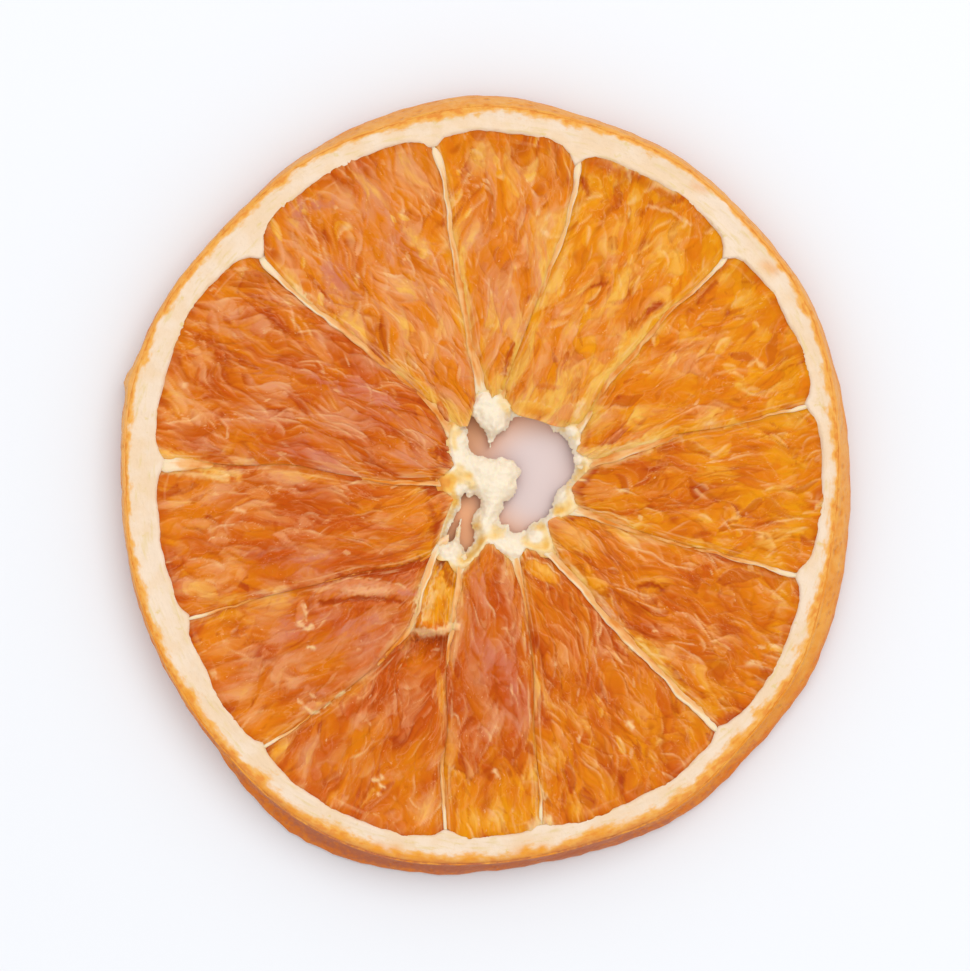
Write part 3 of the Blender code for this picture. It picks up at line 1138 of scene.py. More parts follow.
def tube_blank(columns: int, rows: int) -> tuple[Piece, Field, Field]:
    """A closed tube.

    Args:
        columns: Its faces round.
        rows: Its faces along.

    Returns:
        The tube, how far along it each vertex lies, from 0 to 1, and its angle round it.
    """
    clear_selection()
    bpy.ops.mesh.primitive_cylinder_add(vertices=columns, radius=1, depth=1)
    tube = bpy.context.object
    heights = vertex_places(tube)[:, 2]
    ends = np.empty(len(tube.data.edges) * 2, dtype=np.int64)
    tube.data.edges.foreach_get("vertices", ends)
    ends = ends.reshape(-1, 2)
    upright = heights[ends[:, 0]] != heights[ends[:, 1]]
    bpy.ops.object.mode_set(mode="EDIT")
    bpy.ops.mesh.select_mode(type="EDGE")
    bpy.ops.mesh.select_all(action="DESELECT")
    bpy.ops.object.mode_set(mode="OBJECT")
    tube.data.edges.foreach_set("select", upright)
    bpy.ops.object.mode_set(mode="EDIT")
    bpy.ops.mesh.subdivide(number_cuts=rows - 1)
    bpy.ops.object.mode_set(mode="OBJECT")
    places = vertex_places(tube)
    return tube, places[:, 2] + 0.5, np.arctan2(places[:, 1], places[:, 0])


def ring_blank(columns: int, rows: int) -> tuple[Piece, Field, Field]:
    """A closed ring.

    Args:
        columns: Its faces along.
        rows: Its faces round its section.

    Returns:
        The ring, each vertex's angle along it and its place round the section, from 0 to 1.
    """
    clear_selection()
    bpy.ops.mesh.primitive_torus_add(
        major_segments=columns, minor_segments=rows, major_radius=2, minor_radius=1
    )
    ring = bpy.context.object
    places = vertex_places(ring)
    reach = np.hypot(places[:, 0], places[:, 1])
    angle = np.arctan2(places[:, 1], places[:, 0])
    around = np.mod(np.arctan2(places[:, 2], reach - 2) / TURN, 1.0)
    return ring, angle, around


def closed_section(corners: Sequence[tuple[Field, Field]], around: Field) -> tuple[Field, Field]:
    """A place on the smooth closed curve through a section's corners.

    Args:
        corners: Radius and height of each corner, given for every vertex.
        around: How far round the section each vertex lies, from 0 to 1.

    Returns:
        Radii and heights.
    """
    radii = np.array([corner[0] for corner in corners])
    heights = np.array([corner[1] for corner in corners])
    count = len(corners)
    place = np.mod(around, 1.0) * count
    first = np.floor(place).astype(int) % count
    t = place - np.floor(place)
    every = np.arange(around.size)

    def curve(table: Field) -> Field:
        """One coordinate of the curve."""
        before, a, b, after = (table[(first + k) % count, every] for k in (-1, 0, 1, 2))
        return spline(before, a, b, after, t)

    return curve(radii), curve(heights)


def finish_piece(piece: Piece, name: str, material: Material) -> Piece:
    """Names a piece, dresses it and hangs it on the slice.

    Args:
        piece: The piece, with its points in the slice's own millimetres.
        name: Its name.
        material: Its material.

    Returns:
        The finished piece.
    """
    move_vertices(piece, PLACER.metres(vertex_places(piece)))
    piece.name = name
    piece.data.name = name
    piece.data.materials.clear()
    piece.data.materials.append(material)
    for layer in [layer.name for layer in piece.data.uv_layers]:
        piece.data.uv_layers.remove(piece.data.uv_layers[layer])
    piece.data.shade_smooth()
    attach(piece, "root")
    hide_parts(NODE)
    return piece


def report(piece: Piece) -> None:
    """Logs a piece's name and how many triangles it has."""
    LOG.info("%s: %d triangles", piece.name, sum(len(face.vertices) - 2 for face in piece.data.polygons))


# -------------------- Pulp --------------------


class Tone(Enum):
    """The look of a stretch of pulp, with a number for each of TONE_PARTS."""

    HONEY = (0.08, 0.60, 0.05, 0.03, 0.0)
    AMBER = (0.20, 0.35, 0.0, -0.12, 0.0)
    CLEAR = (0.10, 0.65, 0.0, -0.29, 0.0)
    GLOW = (0.05, 0.50, 0.20, 0.30, 0.0)
    SYRUP = (0.38, 0.40, 0.0, -0.40, 0.05)
    MILKY = (0.10, 0.35, 0.35, 0.22, 0.0)
    PEACHY = (0.20, 0.30, 0.45, 0.10, 0.0)
    BRONZE = (0.42, 0.25, 0.25, 0.0, 0.0)
    MAUVE = (0.62, 0.05, 0.65, 0.10, 0.15)
    ROSY = (0.62, 0.05, 0.60, 0.05, 0.10)
    RUSSET = (0.80, 0.05, 0.25, -0.05, 0.15)
    WINE = (0.85, 0.0, 0.60, -0.06, 0.25)
    TAWNY = (0.55, 0.20, 0.05, -0.15, 0.10)
    MOLASSES = (0.70, 0.10, 0.0, -0.28, 0.18)
    PEARL = (0.15, 0.10, 0.50, 0.50, 0.0)
    PETAL = (0.20, 0.15, 0.45, 0.30, 0.0)
    HUSK = (0.15, 0.35, 0.15, 0.30, 0.0)
    BEAD = (0.05, 0.90, 0.0, 0.12, 0.0)
    SHADE = (0.25, 0.15, 0.75, 0.34, 0.05)
    GARNET = (0.90, 0.0, 0.30, -0.25, 0.65)


TONE_PARTS = ("red", "gold", "rosy", "milk_and_light", "deep")
SEGMENT_TONES = (
    (Tone.GLOW, Tone.AMBER, Tone.CLEAR),
    (Tone.GLOW, Tone.HONEY, Tone.CLEAR),
    (Tone.GLOW, Tone.MILKY, Tone.AMBER),
    (Tone.MILKY, Tone.MILKY, Tone.PEACHY),
    (Tone.ROSY, Tone.MAUVE, Tone.BRONZE),
    (Tone.BRONZE, Tone.RUSSET, Tone.BRONZE),
    (Tone.WINE, Tone.MAUVE, Tone.BRONZE),
    (Tone.HONEY, Tone.RUSSET, Tone.BRONZE),
    (Tone.ROSY, Tone.WINE, Tone.CLEAR),
    (Tone.MOLASSES, Tone.TAWNY, Tone.SYRUP),
    (Tone.AMBER, Tone.TAWNY, Tone.SYRUP),
    (Tone.TAWNY, Tone.SYRUP, Tone.CLEAR),
)
SEGMENT_BEADS = (0.3, 0.5, 0.35, 0.2, 0.0, 0.0, 0.0, 0.0, 0.0, 0.1, 0.15, 0.3)


@dataclass(frozen=True)
class Mark:
    """A streak that stands out in the pulp.

    Attributes:
        path_px: The view's pixels that it runs through.
        width: Half its width in millimetres.
        rise: How far it stands up, in millimetres.
        pale: How white it has dried, from 0 to 1. The other looks are given in the same way.
    """

    path_px: tuple[tuple[float, float], ...]
    width: float
    rise: float = 0.0
    pale: float = 0.0
    milky: float = 0.0
    deep: float = 0.0
    golden: float = 0.0
    rosy: float = 0.0

    def near(self, x: Field, y: Field) -> Field:
        """How near places are to the streak.

        Args:
            x: Places in millimetres.
            y: Places in millimetres.

        Returns:
            1 on the streak, falling to 0 beside it.
        """
        distance = np.full(x.shape, FAR)
        corners = [VIEW.place(*corner) for corner in self.path_px]
        for (ax, ay), (bx, by) in zip(corners, corners[1:]):
            length = (bx - ax) ** 2 + (by - ay) ** 2
            part = np.clip(((x - ax) * (bx - ax) + (y - ay) * (by - ay)) / length, 0, 1)
            distance = np.minimum(distance, np.hypot(x - ax - part * (bx - ax), y - ay - part * (by - ay)))
        ragged = 1 + 0.5 * mottle(x, y, 0.7, STRAY_SEED + 1) + 0.6 * mottle(x, y, 0.28, STRAY_SEED + 9)
        return bell(distance, self.width * np.maximum(ragged, 0.3))


MARKS = (
    # The pocket: its walls, its golden floor and the hollow beyond it, darkened with painted shade.
    Mark(((413, 629), (420, 632), (433, 632), (446, 629), (456, 625)), 0.30, rise=0.25, pale=1.5),
    Mark(((414, 627), (417, 604), (421, 585), (434, 562)), 0.15, rise=0.15, pale=0.9),
    Mark(((421, 624), (425, 604), (430, 588), (441, 566)), 0.10, pale=0.7),
    Mark(((450, 624), (456, 600), (460, 580), (471, 556)), 0.13, rise=0.08, pale=0.8),
    Mark(((432, 618), (436, 604), (442, 594)), 0.60, golden=1.0, milky=0.35),
    Mark(((426, 619), (429, 605), (433, 593)), 0.26, pale=0.55, milky=0.6, golden=0.8),
    Mark(((441, 566), (446, 574), (451, 584)), 0.45, rise=-0.3, deep=1.0),
    Mark(((444, 602), (447, 614)), 0.26, deep=0.5, golden=0.4),
    Mark(((418, 638), (432, 639), (446, 637)), 0.42, rise=-0.3, deep=0.55),
    Mark(((384, 665), (400, 656), (416, 646), (438, 648)), 0.75, -0.30, milky=0.25, deep=0.35, rosy=0.4),
    # The plump strand left of the pocket: a pale streak on it, which is a painted highlight, and the red
    # bands and dark lines along it, the dark lines painted shade.
    Mark(((400, 592), (414, 594)), 0.28, rise=0.10, milky=0.5, rosy=0.8),
    Mark(((346, 590), (366, 591), (386, 591)), 0.34, rise=0.10, pale=0.45, milky=0.35),
    Mark(((326, 582), (344, 577), (372, 574)), 0.20, rise=-0.08, deep=0.9),
    Mark(((372, 574), (392, 572), (412, 566), (426, 560)), 0.42, rise=-0.12, deep=1.0),
    Mark(((322, 603), (350, 600), (380, 599), (402, 602)), 0.20, rise=-0.08, deep=1.0),
    # Torn scraps of white skin.
    Mark(((302, 605), (306, 613), (306, 621)), 0.09, 0.08, 0.6),
    Mark(((299, 624), (306, 628), (312, 625)), 0.19, 0.12, 1.0),
    Mark(((309, 647), (313, 648)), 0.16, 0.10, 1.0),
    Mark(((297, 699), (301, 703)), 0.12, 0.08, 0.8),
    Mark(((306, 708), (312, 713), (318, 712)), 0.13, 0.08, 1.0),
    Mark(((310, 694), (316, 698)), 0.10, 0.05, 0.7),
    Mark(((325, 707), (330, 703)), 0.12, 0.06, 0.8),
    Mark(((337, 697), (344, 692)), 0.12, 0.06, 0.9),
    Mark(((373, 779), (377, 781)), 0.14, 0.08, 1.0),
    Mark(((381, 776), (382, 778)), 0.13, 0.08, 0.9),
    Mark(((380, 786), (384, 788)), 0.14, 0.08, 1.0),
    Mark(((378, 793), (379, 795)), 0.12, 0.08, 0.8),
    Mark(((362, 806), (368, 798), (374, 790)), 0.30, milky=0.4, golden=0.7),
    Mark(((494, 771), (498, 775)), 0.16, 0.08, 1.0),
    Mark(((531, 827), (540, 821), (549, 820)), 0.32, 0.20, 1.2),
    Mark(((544, 231), (547, 235)), 0.22, 0.10, 1.0),
    Mark(((236, 509), (243, 511)), 0.17, 0.06, 0.8),
    Mark(((629, 723), (632, 727)), 0.18, 0.08, 1.0),
    Mark(((296, 288), (303, 296), (309, 302)), 0.22, 0.15, 1.2),
    Mark(((583, 402), (579, 408), (577, 415)), 0.24, 0.12, 1.0),
    # Cream and golden streaks along membranes and pith.
    Mark(((586, 161), (610, 169), (640, 181), (674, 200)), 0.40, deep=0.5, rosy=0.6),
    Mark(((158, 452), (182, 460), (206, 467), (238, 475)), 0.42, pale=0.25, milky=0.15, golden=0.9),
    Mark(((156, 470), (190, 474), (226, 478)), 0.22, pale=0.6, golden=0.4),
    Mark(((690, 290), (664, 312), (640, 334), (612, 372)), 0.30, milky=0.5, golden=0.8),
    Mark(((588, 456), (620, 449), (656, 442)), 0.42, pale=0.35, milky=0.7, golden=0.5),
    Mark(((604, 466), (630, 458), (652, 450)), 0.20, pale=0.4),
    Mark(((603, 158), (622, 166), (648, 178), (672, 194)), 0.20, pale=0.8, milky=0.3),
    Mark(((650, 206), (672, 212), (690, 224)), 0.12, pale=0.6),
    Mark(((640, 640), (660, 664), (684, 690)), 0.42, milky=0.5, golden=0.9),
    Mark(((566, 560), (600, 600), (628, 634)), 0.20, milky=0.25, pale=0.3),
    # Golden beads.
    Mark(((748, 366), (756, 360), (764, 368)), 0.14, pale=0.6, golden=0.6),
    Mark(((752, 372), (758, 372)), 0.34, golden=0.9),
    Mark(((738, 384), (746, 390)), 0.26, milky=0.6, golden=0.8),
    Mark(((474, 816), (484, 824)), 0.45, milky=0.3, golden=1.0),
    Mark(((536, 566), (548, 572)), 0.45, milky=0.4, golden=0.8),
    # Deep red and rusty patches.
    Mark(((600, 596), (612, 592), (628, 600), (640, 612)), 0.55, deep=0.6, rosy=0.6),
    Mark(((640, 586), (652, 584), (664, 590)), 0.22, deep=0.9),
    Mark(((505, 372), (508, 356), (514, 344)), 0.32, deep=0.9),
    Mark(((500, 560), (496, 580), (498, 600)), 0.50, deep=0.6),
    Mark(((268, 312), (276, 324), (286, 330)), 0.42, deep=0.7),
    Mark(((220, 358), (228, 364)), 0.40, deep=0.7),
    Mark(((582, 178), (588, 192)), 0.30, deep=0.8),
    Mark(((716, 282), (706, 292), (698, 302)), 0.22, deep=0.8),
    Mark(((632, 326), (646, 314), (660, 304)), 0.35, deep=0.6),
    Mark(((420, 400), (436, 410), (446, 426)), 0.40, deep=0.6),
    Mark(((398, 432), (410, 436), (420, 446)), 0.40, deep=0.5),
    Mark(((437, 450), (446, 455)), 0.50, rise=-0.15, deep=1.1),
    Mark(((452, 436), (456, 446)), 0.35, rise=-0.10, deep=0.7),
    Mark(((424, 487), (432, 492)), 0.45, deep=0.9),
    Mark(((430, 506), (436, 522), (434, 532)), 0.35, deep=0.7),
    # Soft rosy patches.
    Mark(((484, 646), (500, 668), (516, 686)), 1.0, milky=0.2, rosy=0.7),
    Mark(((334, 376), (360, 392), (390, 412)), 0.9, milky=0.15, rosy=0.8),
    Mark(((250, 560), (290, 566), (330, 566)), 0.9, milky=0.15, rosy=1.0),
    Mark(((286, 622), (300, 628), (340, 628), (372, 620)), 0.8, milky=0.3, rosy=0.7),
    Mark(((616, 604), (640, 620)), 0.9, milky=0.15, rosy=1.0),
    Mark(((300, 214), (312, 206), (330, 204)), 0.5, milky=0.3, rosy=1.0),
    Mark(((330, 268), (352, 284)), 0.8, milky=0.4, rosy=0.7),
)


@dataclass(frozen=True)
class PlumpSac:
    """One juice sac that stands out in the pulp, plump and smooth.

    Attributes:
        middle_px: The view's pixel at its middle.
        size: Half its length and half its width in millimetres.
        turn: The angle of its length from +X, in degrees.
        tone: Its look.
        rim: How white its outline is, from 0 to 1; the white is a painted highlight on the side that faces
            the light.
    """

    middle_px: tuple[float, float]
    size: tuple[float, float]
    turn: float
    tone: Tone
    rim: float = 0.5

    def lens(self, x: Field, y: Field) -> tuple[Field, Field]:
        """Where places lie in the sac.

        Args:
            x: Places in millimetres.
            y: Places in millimetres.

        Returns:
            How far inside its outline, from 1 at its middle to 0 at the outline and on below 0, and how
            far across it, from -1 to 1.
        """
        middle_x, middle_y = VIEW.place(*self.middle_px)
        turn = math.radians(self.turn)
        off_x, off_y = x - middle_x, y - middle_y
        along = (off_x * math.cos(turn) + off_y * math.sin(turn)) / self.size[0]
        across = (off_y * math.cos(turn) - off_x * math.sin(turn)) / self.size[1]
        return 1 - along**2 - np.abs(across) ** 1.6, across


SACS = (
    # The plump strand left of the pocket.
    PlumpSac((366, 588), (3.5, 0.84), -2, Tone.PEARL, 0.7),
    PlumpSac((364, 604), (2.6, 0.40), 2, Tone.MAUVE, 0.4),
    PlumpSac((306, 585), (2.3, 0.48), 17, Tone.GARNET, 0.0),
    # Left.
    PlumpSac((300, 612), (0.95, 0.45), 75, Tone.PEARL, 0.9),
    PlumpSac((309, 707), (0.80, 0.40), 20, Tone.PEARL, 0.6),
    PlumpSac((220, 541), (1.05, 0.30), 0, Tone.PEARL, 0.9),
    PlumpSac((198, 524), (1.6, 0.46), 1, Tone.HUSK, 0.5),
    PlumpSac((247, 527), (1.5, 0.42), -3, Tone.PETAL, 0.5),
    PlumpSac((195, 564), (1.0, 0.48), 8, Tone.PETAL, 0.6),
    PlumpSac((176, 561), (0.55, 0.38), 0, Tone.PETAL, 0.3),
    PlumpSac((184, 484), (0.70, 0.75), 60, Tone.HUSK, 0.2),
    PlumpSac((258, 494), (1.2, 0.60), -12, Tone.HUSK, 0.5),
    PlumpSac((224, 648), (2.4, 0.65), 24, Tone.HUSK, 0.4),
    PlumpSac((258, 722), (1.6, 0.70), 38, Tone.PETAL, 0.5),
    PlumpSac((243, 706), (1.3, 0.50), 52, Tone.HUSK, 0.4),
    PlumpSac((380, 728), (1.5, 0.95), 80, Tone.HUSK, 0.2),
    PlumpSac((452, 742), (2.5, 0.65), 86, Tone.HUSK, 0.7),
    PlumpSac((440, 690), (2.4, 0.36), 96, Tone.BEAD, 0.1),
    # Top left.
    PlumpSac((386, 227), (0.8, 0.50), 100, Tone.PEARL, 0.4),
    PlumpSac((319, 350), (1.8, 0.60), -50, Tone.HUSK, 0.5),
    PlumpSac((354, 332), (1.5, 0.32), -42, Tone.PEARL, 0.7),
    PlumpSac((330, 306), (1.1, 0.34), -45, Tone.PETAL, 0.6),
    # Top right.
    PlumpSac((511, 188), (2.7, 0.85), 92, Tone.BEAD, 0.5),
    PlumpSac((554, 196), (1.7, 0.60), 80, Tone.HUSK, 0.4),
    PlumpSac((614, 263), (1.2, 0.75), 35, Tone.PETAL, 0.2),
    PlumpSac((611, 343), (1.3, 0.55), 20, Tone.HUSK, 0.3),
    PlumpSac((688, 243), (1.1, 0.50), 30, Tone.HUSK, 0.6),
    PlumpSac((712, 318), (1.5, 0.70), 18, Tone.BEAD, 0.7),
    PlumpSac((708, 341), (1.9, 0.34), 24, Tone.HUSK, 0.6),
    PlumpSac((688, 362), (1.1, 0.70), 40, Tone.PETAL, 0.3),
    PlumpSac((742, 298), (1.1, 0.50), 50, Tone.BEAD, 0.5),
    PlumpSac((668, 360), (1.2, 0.48), 62, Tone.HUSK, 0.4),
    PlumpSac((724, 268), (0.7, 0.36), 40, Tone.GARNET, 0.0),
    # Right.
    PlumpSac((608, 520), (2.0, 0.60), -16, Tone.HUSK, 0.6),
    PlumpSac((566, 452), (1.6, 0.60), -8, Tone.BEAD, 0.5),
    PlumpSac((597, 490), (2.3, 0.80), -12, Tone.HUSK, 0.5),
    PlumpSac((680, 615), (0.60, 0.26), -25, Tone.PEARL, 0.8),
    PlumpSac((720, 653), (0.75, 0.30), -30, Tone.HUSK, 0.8),
    PlumpSac((700, 560), (1.2, 0.40), -14, Tone.HUSK, 0.5),
    # Bottom right.
    PlumpSac((542, 572), (2.0, 0.80), -28, Tone.BEAD, 0.8),
    PlumpSac((606, 610), (1.5, 0.90), -48, Tone.SHADE, 0.3),
    PlumpSac((496, 634), (1.7, 0.95), 82, Tone.SHADE, 0.2),
    PlumpSac((549, 665), (1.2, 0.60), 104, Tone.PETAL, 0.4),
    PlumpSac((595, 718), (1.4, 0.34), 112, Tone.GARNET, 0.0),
    PlumpSac((560, 738), (1.6, 0.45), 118, Tone.HUSK, 0.4),
    PlumpSac((474, 822), (0.8, 0.48), 110, Tone.BEAD, 0.9),
    # Round the core.
    PlumpSac((534, 408), (1.9, 0.55), -8, Tone.BEAD, 0.6),
    PlumpSac((549, 387), (1.3, 0.26), -4, Tone.GARNET, 0.0),
    PlumpSac((566, 413), (0.9, 0.75), 40, Tone.HUSK, 0.6),
    PlumpSac((508, 398), (0.8, 0.50), 60, Tone.BEAD, 0.3),
    PlumpSac((565, 534), (1.9, 1.00), -25, Tone.GLOW, 0.3),
    PlumpSac((443, 411), (1.1, 0.40), -62, Tone.GARNET, 0.3),
    PlumpSac((423, 420), (1.4, 0.42), -62, Tone.PETAL, 0.5),
    PlumpSac((416, 521), (1.1, 0.70), 10, Tone.PETAL, 0.3),
    PlumpSac((487, 560), (1.2, 0.70), 80, Tone.PETAL, 0.2),
    PlumpSac((480, 548), (0.6, 0.40), 60, Tone.GARNET, 0.0),
    PlumpSac((606, 420), (1.6, 0.60), 34, Tone.HUSK, 0.4),
)


@dataclass(frozen=True)
class Pocket:
    """The small shut pocket below the core, and the hollow beyond its wall, which is sunk and painted darker
    as shade.
    """

    segment: int = 7
    radius: float = 13.2
    wall_width: float = 0.5
    wall_rise: float = 0.7
    hollow: float = 0.8

    def relief(self, radius: Field) -> Field:
        """The relief of the pocket.

        Args:
            radius: Distances from the slice's middle, in millimetres.

        Returns:
            How far the surface rises at the wall, above 0, and drops in the pocket and beyond it, below 0.
        """
        wall = bell(radius - self.radius, self.wall_width)
        hollows = self.hollow * self.beyond(radius)
        return self.wall_rise * wall - hollows - 0.5 * self.hollow * self.within(radius)

    def beyond(self, radius: Field) -> Field:
        """1 in the hollow beyond the wall."""
        outward = radius - self.radius
        return smooth((outward - 0.3) / 0.5) * (1 - smooth((outward - 1.6) / 2.4))

    def within(self, radius: Field) -> Field:
        """1 in the pocket itself."""
        return 1 - smooth((radius - self.radius + 1.2) / 0.8)


# A radius midway through the pulp, in millimetres.
MIDWAY = 20.0


@dataclass(frozen=True)
class Spread:
    """Where the points of a sheet of pulp lie. Distances are in millimetres.

    Attributes:
        across: How far from one membrane to the next, from 0 to 1.
        share: How far out from core to pith, from 0 to 1.
        radius: Distance from the slice's middle.
        angle: Angle round it.
        side: Distance from the segment's middle line, drawn in towards the core as the sacs are.
        beside: Distance from the nearest membrane.
        from_pith: Distance from the pith.
        from_core: Distance from the core.
    """

    across: Field
    share: Field
    radius: Field
    angle: Field
    side: Field
    beside: Field
    from_pith: Field
    from_core: Field

    @classmethod
    def over(cls, index: int, across: Field, share: Field) -> "Spread":
        """Spreads points over a segment.

        Args:
            index: The segment, which starts at the membrane of that index.
            across: How far across it each point lies, from 0 to 1.
            share: How far out from core to pith, from 0 to 1.

        Returns:
            The spread.
        """
        radius, angle = FORM.segment_place(index, across, share)
        start = FORM.wall_angle(index, radius)
        width = FORM.wall_angle(index + 1, radius) - start
        side = (across - 0.5) * width * MIDWAY * (radius / MIDWAY) ** 0.7
        beside = np.minimum(across, 1 - across) * width * radius
        core = FORM.core_radius(angle)
        length = FORM.pith_radius(angle) - core
        return cls(across, share, radius, angle, side, beside, (1 - share) * length, share * length)


@dataclass
class PulpSegment:
    """One segment of pulp: a closed piece with folded juice sacs in relief above and below.

    Attributes:
        index: The segment, which starts at the membrane of that index.
        tones: Its look at the core, halfway and at the rim.
        cell_mm: The distance between points on the upper side, at the rim.
        coarse: How many times wider the distance is on the underside.
        sac: Width and length of a juice sac in millimetres.
        seeds: How far apart the seeds of segments are, and of a segment's two sides.
        beads: How many clear golden beads its outer part has, from 0 to 1.
        light_turn: Turns an angle round the slice so that its cosine is 1 where the segments' later
            side faces the light.
    """

    index: int
    tones: tuple[Tone, Tone, Tone]
    cell_mm: float = 0.125
    coarse: float = 2.4
    sac: tuple[float, float] = (1.5, 4.8)
    seeds: tuple[int, int] = (100, 50)
    beads: float = 0.4
    tuck: float = 0.25
    crown: float = 0.3
    light_turn: float = math.radians(43)
    pocket: Pocket = field(default_factory=Pocket)

    def tone(self, share: Field, part: str) -> Field:
        """One part of the look, blended from core to rim.

        Args:
            share: How far out from core to pith, from 0 to 1.
            part: One of TONE_PARTS.

        Returns:
            The part's number at each place.
        """
        core, middle, rim = (tone.value[TONE_PARTS.index(part)] for tone in self.tones)
        inner = core + (middle - core) * smooth(share / 0.5)
        return np.where(share < 0.5, inner, middle + (rim - middle) * smooth((share - 0.5) / 0.5))

    def sheet(self, spacing: float, face: Face) -> Piece:
        """One side of the segment, with its relief and masks.

        Args:
            spacing: The distance between points at the rim, in millimetres.
            face: Which side.

        Returns:
            The open sheet, facing outwards.
        """
        rim = Spread.over(self.index, np.array([0.5]), np.array([1.0]))
        columns = max(int(2 * rim.beside[0] / spacing), 8)
        rows = int(rim.from_core[0] / (spacing * 1.05))
        grid, across, share = unit_grid(columns, rows)
        spread = Spread.over(self.index, across, share)
        shown = face is Face.UPPER
        seed = self.seeds[0] * self.index + (0 if shown else self.seeds[1])
        side, radius = spread.side, spread.radius
        bent = side + 0.7 * noise(side / 3.6, radius / 6, seed) + 0.16 * noise(side, radius / 1.6, seed + 1)
        bent += 0.24 * noise(side / 1.5, radius / 2.4, seed + 4)
        drawn = radius + 1.4 * noise(side / 3, radius / 7, seed + 2)
        sacs = packed_cells(bent / self.sac[0], drawn / self.sac[1], seed + 3)
        skins = tuple(layer.strewn(bent, drawn, seed) for layer in SKIN_LAYERS)

        # Each line below adds a kind of relief, in millimetres.
        relief = 0.30 * noise(side / 3.2, radius / 8, seed + 9)
        relief += 0.05 * noise(bent / 0.5, drawn / 1.6, seed + 10)
        relief += 0.12 * (sacs.pick - 0.5) * smooth(sacs.gap / 0.5)
        for layer, flakes in zip(SKIN_LAYERS, skins):
            relief += layer.rise * flakes.cover * (1.5 - flakes.side**2 + 0.5 * flakes.rank)
        crown = self.crown * np.sin(math.pi * across) * np.sin(math.pi * np.minimum(share + 0.2, 1.0))
        meet = (FORM.rim_height(spread.angle) - 0.35 - FORM.pulp_top) * bell(spread.from_pith, 1.5)
        meet -= 0.25 * bell(spread.from_core, 0.35)
        dish = FORM.core_dish * bell(spread.from_core, FORM.dish_width)
        free = smooth(spread.beside / 0.9)
        under = self.under_wall(spread)
        rise = (crown + relief) * free + meet - 0.15 * under
        x, y = radius * np.cos(spread.angle), radius * np.sin(spread.angle)
        marks, lenses = [], []
        if shown:
            strayed = stray(x, y, (0.13, 0.4, STRAY_SEED + 2))
            marks = [(mark, mark.near(*strayed)) for mark in MARKS]
            strayed = stray(x, y, (0.16, 0.9, STRAY_SEED + 4), (0.05, 0.25, STRAY_SEED + 6))
            lenses = [(sac, *sac.lens(*strayed)) for sac in SACS]
        rise += sum(mark.rise * near for mark, near in marks)
        for _, inside, _ in lenses:
            rise = rise + (0.08 - 0.4 * relief * free) * smooth(inside / 0.6)
        if shown:
            if self.index == self.pocket.segment:
                rise += self.pocket.relief(radius) * free
            height = FORM.pulp_top + rise - dish
        else:
            height = FORM.pulp_bottom - 0.7 * rise - 0.85 * bell(spread.from_core, 1.4)
        tucked = radius + self.tuck * (smooth((share - 0.97) / 0.03) - smooth((0.03 - share) / 0.03))
        points = np.stack([tucked * np.cos(spread.angle), tucked * np.sin(spread.angle), height], 1)
        move_vertices(grid, points)

        masks = self.paint(spread, bent, drawn, sacs, skins, seed)
        self.add_sacs(masks, lenses, spread)
        self.add_marks(masks, marks)
        for name, values in masks.items():
            set_mask(grid, name, values)
        set_grain(grid, bent, drawn, float(self.index) * 3 + face.value)
        if not shown:
            grid.data.flip_normals()
        return grid

    def add_marks(self, masks: dict[str, Field], marks: list[tuple[Mark, Field]]) -> None:
        """Paints the streaks that stand out.

        Args:
            masks: The masks by name, which are changed.
            marks: Each streak and how near it each point is.
        """
        for mark, near in marks:
            masks["film_and_highlight"] = masks["film_and_highlight"] + mark.pale * near
            masks["milk_and_light"] = masks["milk_and_light"] + (mark.milky + 0.4 * mark.pale - 0.6 * mark.deep) * near
            masks["deep"] = masks["deep"] * (1 - near * min(mark.pale + mark.milky, 1.0)) + mark.deep * near
            masks["gold"] = masks["gold"] + mark.golden * near
            masks["rosy"] = masks["rosy"] + mark.rosy * near

    def add_sacs(
        self, masks: dict[str, Field], lenses: list[tuple[PlumpSac, Field, Field]], spread: Spread
    ) -> None:
        """Paints the sacs that stand out.

        Args:
            masks: The masks by name, which are changed.
            lenses: Each sac, how far inside its outline each point lies and how far across it.
            spread: Where the points lie.
        """
        for sac, inside, across in lenses:
            turn = math.radians(sac.turn)
            # The side that faces the light, which falls in from the upper right, is painted paler and gets a
            # pale outline, a painted highlight; the other side gets a dark outline, painted shade.
            facing = np.sign(math.cos(turn) + 0.6 * math.sin(-turn)) * np.clip(across, -1, 1)
            within = (0.35 + 0.35 * sac.rim) * smooth(inside / 0.5)
            gate = smooth(0.55 + noise(spread.side / 0.5, spread.radius / 0.9, STRAY_SEED + 8))
            outline = gate * bell(inside - 0.04, 0.13)
            wanted = dict(zip(TONE_PARTS, sac.tone.value), film_and_highlight=0.0)
            wanted["milk_and_light"] = 0.28 + wanted["milk_and_light"] + 0.35 * facing
            for name, value in wanted.items():
                masks[name] = masks[name] + within * (value - np.clip(masks[name], -0.3, 1.2))
            masks["film_and_highlight"] = masks["film_and_highlight"] + sac.rim * outline * smooth(0.5 + 0.9 * facing)
            masks["deep"] = masks["deep"] + 0.45 * outline * smooth(0.1 - 1.2 * facing)

    def under_wall(self, spread: Spread) -> Field:
        """The furrow under the standing edge of a membrane, where painted shade darkens the pulp.

        Args:
            spread: Where the points lie.

        Returns:
            1 in the furrow, falling to 0 beside it.
        """
        start = MEMBRANES[self.index]
        end = MEMBRANES[(self.index + 1) % len(MEMBRANES)]
        width = spread.beside / np.maximum(np.minimum(spread.across, 1 - spread.across), 1e-6)
        first = max(start.lean, 0.0) * bell(spread.across * width - 0.2, 0.7)
        last = max(-end.lean, 0.0) * bell((1 - spread.across) * width - 0.2, 0.7)
        first *= smooth(FORM.along(start.pale, spread.radius) / 0.5)
        last *= smooth(FORM.along(end.pale, spread.radius) / 0.5)
        return np.maximum(first, last)

